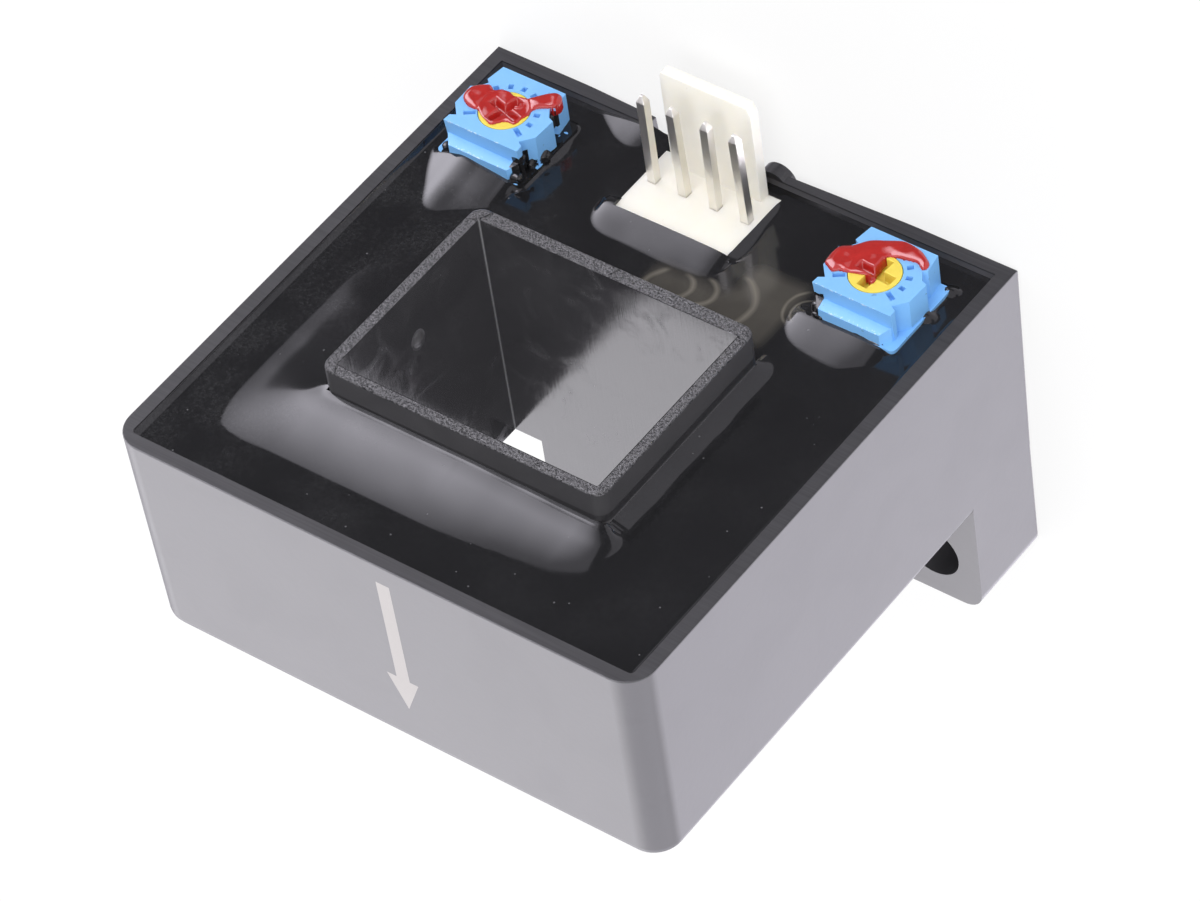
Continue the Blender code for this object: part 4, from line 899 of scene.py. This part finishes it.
# the left one's side notch is painted near black from above the rim to near the top
notch = left_one * (abs(local_x - 0.0027) < 0.0004) * (abs(local_z + 0.0015) < 0.0006)
notch = notch * (y < TRIMMER_TOP_Y - 0.00025 + (splash - 0.5) * 0.0012)
foot_side = (left_one * (local_x > 0.0018) + right_one * (local_x < -0.0012)
             + (abs(local_x) < 0.0018) * (splash > 0.5))
smear_and_dark_notch = (lip_corner * (y < RIM_Y + 0.0011 + ragged) + far_corner * (y < RIM_Y + 0.0012 + ragged)
         + notch * (y > RIM_Y + 0.0005 + ragged)
         + (y < RIM_Y - 0.00025 + (splash - 0.5) * 0.0006) * foot_side).clamp()
stain = trimmer_finish.noise(0.0006, 2.0, 0.6) > 0.73
tone = trimmer_finish.mix(patchy, (0.19, 0.455, 0.85), (0.215, 0.49, 0.88))
tone = trimmer_finish.mix(worn * 0.7, tone, (0.75, 0.85, 0.92))
tone = trimmer_finish.mix(stain * 0.4, tone, (0.05, 0.10, 0.16))
tone = trimmer_finish.mix(smear_and_dark_notch, tone, (0.010, 0.010, 0.011))
coat(body, trimmer_finish.feed(
    Base_Color=tone, Roughness=0.36 - smear_and_dark_notch * 0.24,
    Normal=trimmer_finish.bump(trimmer_finish.noise(0.0003, 3.0) + smear_and_dark_notch * 6.0, 0.000012)))
for side, centre_x in zip(("left", "right"), TRIMMER_X):
    trimmer = copied(body, f"trimmer_case_{side}", (centre_x, 0.0, TRIMMER_Z))
    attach(trimmer, "root")
    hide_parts(f"trimmer_body_{side}")
bpy.data.objects.remove(body)


# Rotors: drums moulded in yellow, which sit in the trimmers' bores and carry the wiper below. The
# cross slot takes a screwdriver, and each was left at its own angle when the sensor was set.
ROTOR_ANGLES = (16.0, 4.0)
ROTOR_RADIUS = 0.00175
SLOT_HALF = 0.00040
SLOT_REACH = 0.00140
rotor_finish = Finish("rotor_yellow_moulding", (0.79, 0.62, 0.085), 0.38, Subsurface_Weight=0.1,
                      Subsurface_Scale=0.0006)
mottle = rotor_finish.noise(0.0004, 3.0, 0.6)
rotor_finish.feed(Base_Color=rotor_finish.mix(mottle, (0.75, 0.58, 0.07), (0.83, 0.66, 0.10)),
                  Normal=rotor_finish.bump(mottle, 0.000015))
drum = rod("rotor_model", (0.0, TRIMMER_TOP_Y - 0.00062, 0.0), "Y", ROTOR_RADIUS, 0.0013, 72)
for reach_x, reach_z in ((SLOT_REACH, SLOT_HALF), (SLOT_HALF, SLOT_REACH)):
    carve(drum, block("slot", (-reach_x, TRIMMER_TOP_Y - 0.00085, -reach_z),
                      (reach_x, TRIMMER_TOP_Y + 0.001, reach_z)))
soften(drum, 0.00005, 2, 28.0)
coat(drum, rotor_finish.material)
for side, centre_x, angle in zip(("left", "right"), TRIMMER_X, ROTOR_ANGLES):
    rotor = copied(drum, f"trimmer_drum_{side}", (centre_x, 0.0, TRIMMER_Z), (0.0, -math.radians(angle), 0.0))
    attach(rotor, "root")
    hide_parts(f"trimmer_rotor_{side}")
bpy.data.objects.remove(drum)


# Lacquer: red sealing paint dabbed over the set rotors. It wets the slots, stands up in lobes,
# and dried with a burst bubble in the left one.
def inside_by(x, z, outline):
    """How far a point lies inside an outline; negative outside it."""
    nearest, within = 1.0, False
    for (x0, z0), (x1, z1) in zip(outline, outline[1:] + outline[:1]):
        u, w = x1 - x0, z1 - z0
        share = min(max(((x - x0) * u + (z - z0) * w) / (u * u + w * w), 0.0), 1.0)
        nearest = min(nearest, math.hypot(x - x0 - share * u, z - z0 - share * w))
        if (z0 > z) != (z1 > z) and x < x0 + u * (z - z0) / w:
            within = not within
    return nearest if within else -nearest


def rounded(outline, steps=5):
    """The outline with its corners drawn into a smooth curve through the same points."""
    points = [Vector(point) * 0.001 for point in outline]
    curve = []
    for index in range(len(points)):
        p0, p1, p2, p3 = (points[(index + k) % len(points)] for k in (-1, 0, 1, 2))
        for step in range(steps):
            t = step / steps
            curve.append(tuple(0.5 * (2 * p1 + (p2 - p0) * t + (2 * p0 - 5 * p1 + 4 * p2 - p3) * t * t
                                      + (3 * p1 - p0 - 3 * p2 + p3) * t ** 3)))
    return curve


def slot_depth(x, z, angle):
    """1 over the rotor's slot and 0 beside it, with soft walls."""
    turn = math.radians(angle)
    u = abs(x * math.cos(turn) + z * math.sin(turn))
    w = abs(z * math.cos(turn) - x * math.sin(turn))
    bars = max(min(SLOT_HALF - w, SLOT_REACH - u), min(SLOT_HALF - u, SLOT_REACH - w))
    return smooth_step(0.00001, 0.00040, bars)


# each patch's edge from its rotor's middle, in millimetres, and the film's thickness
LACQUER = {
    "left": ([(-3.13, 0.4), (-3.29, -0.22), (-3.1, -0.8), (-2.42, -1.33), (-2.09, -1.38), (-1.66, -1.15),
              (-1.27, -1.47), (-0.68, -1.54), (-0.22, -1.39), (0.22, -1.52), (0.75, -1.65), (1.19, -2.14),
              (1.63, -2.63), (2.1, -2.96), (2.6, -2.89), (2.91, -2.36), (2.78, -1.81), (2.12, -1.38),
              (1.75, -1.04), (1.68, -0.65), (1.71, -0.38), (1.52, 0.2), (1.42, 0.78), (0.71, 0.9),
              (0.08, 1.56), (-0.54, 1.39), (-1.04, 1.2), (-1.54, 0.9), (-2.04, 0.95), (-2.6, 0.8)], 0.00012),
    "right": ([(-3.34, 0.77), (-3.32, -0.61), (-2.58, -1.25), (-1.86, -2.15), (-0.95, -2.67), (-0.08, -3.13),
               (0.5, -3.2), (1.48, -3.03), (2.23, -2.63), (2.6, -2.32), (2.67, -1.88), (2.41, -1.68),
               (1.88, -2.0), (1.22, -1.93), (0.61, -1.79), (0.36, -1.7), (0.05, -1.57), (-0.13, -1.26),
               (-0.09, -0.75), (-0.05, -0.35), (-0.01, -0.06), (0.48, 0.59), (0.39, 0.96), (0.12, 0.8),
               (-0.25, 0.5), (-0.64, 0.62), (-1.03, 0.74), (-1.42, 0.86), (-1.75, 0.95), (-2.09, 1.04),
               (-2.45, 1.31), (-2.97, 1.08)], 0.00016),
}
lacquer_finish = Finish("lacquer_red_gloss", (0.39, 0.016, 0.014), 0.06, IOR=1.62)
depth = lacquer_finish.noise(0.0007, 3.0, 0.6)
lacquer_finish.feed(Base_Color=lacquer_finish.mix(depth, (0.33, 0.010, 0.009), (0.46, 0.024, 0.020)),
                    Roughness=0.04 + depth * 0.06)
for (side, (points, film)), centre_x, angle in zip(LACQUER.items(), TRIMMER_X, ROTOR_ANGLES):
    outline = rounded(points)

    def lacquer_height(x, z):
        """How far the film stands above the rotor's top, less in the slot."""
        x, z = x - centre_x, z - TRIMMER_Z
        within = inside_by(x, z, outline)
        from_middle = math.hypot(x, z)
        swell = smooth_step(0.0014, 0.0023, from_middle)
        thick = film + (0.0003 - film) * swell
        spread = min(within / (0.0002 + 0.00035 * swell), 1.0)
        height = thick * math.sqrt(max(0.0, 1.0 - (1.0 - spread) ** 2))
        height += 0.00009 * noise.noise(Vector((x, 2.0, z)) * 1100.0) * spread
        height -= 0.00052 * slot_depth(x, z, angle) * (1.0 - smooth_step(0.0016, 0.0019, from_middle))
        if side == "left":
            height -= 0.00004 * math.exp(-((from_middle - 0.00178) / 0.00006) ** 2)
            bubble = math.hypot(x - 0.00054, z + 0.00072)
            height += 0.00013 * math.exp(-((bubble - 0.00019) / 0.00007) ** 2)
            height -= 0.00022 * math.exp(-(bubble / 0.0001) ** 2)
        return height

    lacquer = pool(
        f"lacquer_dab_{side}", (centre_x - 0.0035, TRIMMER_Z - 0.0034),
        (centre_x + 0.0031, TRIMMER_Z + 0.0018), 0.00005, TRIMMER_TOP_Y + 0.00004, lacquer_height,
        lambda x, z: inside_by(x - centre_x, z - TRIMMER_Z, outline) > 0.0, 0.0007,
        bpy.ops.mesh.edge_face_add)
    coat(lacquer, lacquer_finish.material)
    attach(lacquer, "root")
    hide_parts(f"lacquer_seal_{side}")


# Inside: the ring of silicon-steel laminations, the board with its parts, and the trimmers' tinned
# legs, all set in the potting. Their CAD solids stay, each with the finish of the real material.
def inner_finish(name, dark, light, roughness, grain, stretch=(1.0, 1.0, 1.0), **constants):
    """Two tones that fade into each other along a grain, with a little relief."""
    finish = Finish(name, light, roughness, **constants)
    texture = finish.noise(grain, 3.0, 0.6, point=finish.stretched(*stretch))
    return finish.feed(
        Base_Color=finish.mix(texture, dark, light), Roughness=roughness + (texture - 0.5) * 0.15,
        Normal=finish.bump(texture, 0.00002))


inner_finishes = {
    "magnetic_core": inner_finish("core_laminations", (0.24, 0.25, 0.27), (0.45, 0.46, 0.48), 0.35, 0.0006,
                                  (0.1, 1.0, 0.1), Metallic=1.0),
    "circuit_board": inner_finish("board_solder_mask", (0.015, 0.12, 0.05), (0.03, 0.20, 0.09), 0.35, 0.0012),
    "hall_element": inner_finish("hall_package", (0.022, 0.022, 0.023), (0.04, 0.04, 0.042), 0.55, 0.0003),
    "amplifier_chip": inner_finish("amplifier_package", (0.02, 0.02, 0.021), (0.036, 0.036, 0.038), 0.5,
                                   0.0003),
    "chip_resistor": inner_finish("resistor_coat", (0.014, 0.014, 0.015), (0.028, 0.028, 0.03), 0.35, 0.0003),
    "chip_capacitor": inner_finish("capacitor_ceramic", (0.36, 0.25, 0.14), (0.48, 0.35, 0.22), 0.45, 0.0004),
    "trimmer_terminal": inner_finish("terminal_tin", (0.62, 0.61, 0.58), (0.80, 0.79, 0.76), 0.25, 0.0004,
                                     (1.0, 0.2, 1.0), Metallic=1.0),
}
for name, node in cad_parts.items():
    for family, material in inner_finishes.items():
        if name.startswith(family):
            coat(node, material)
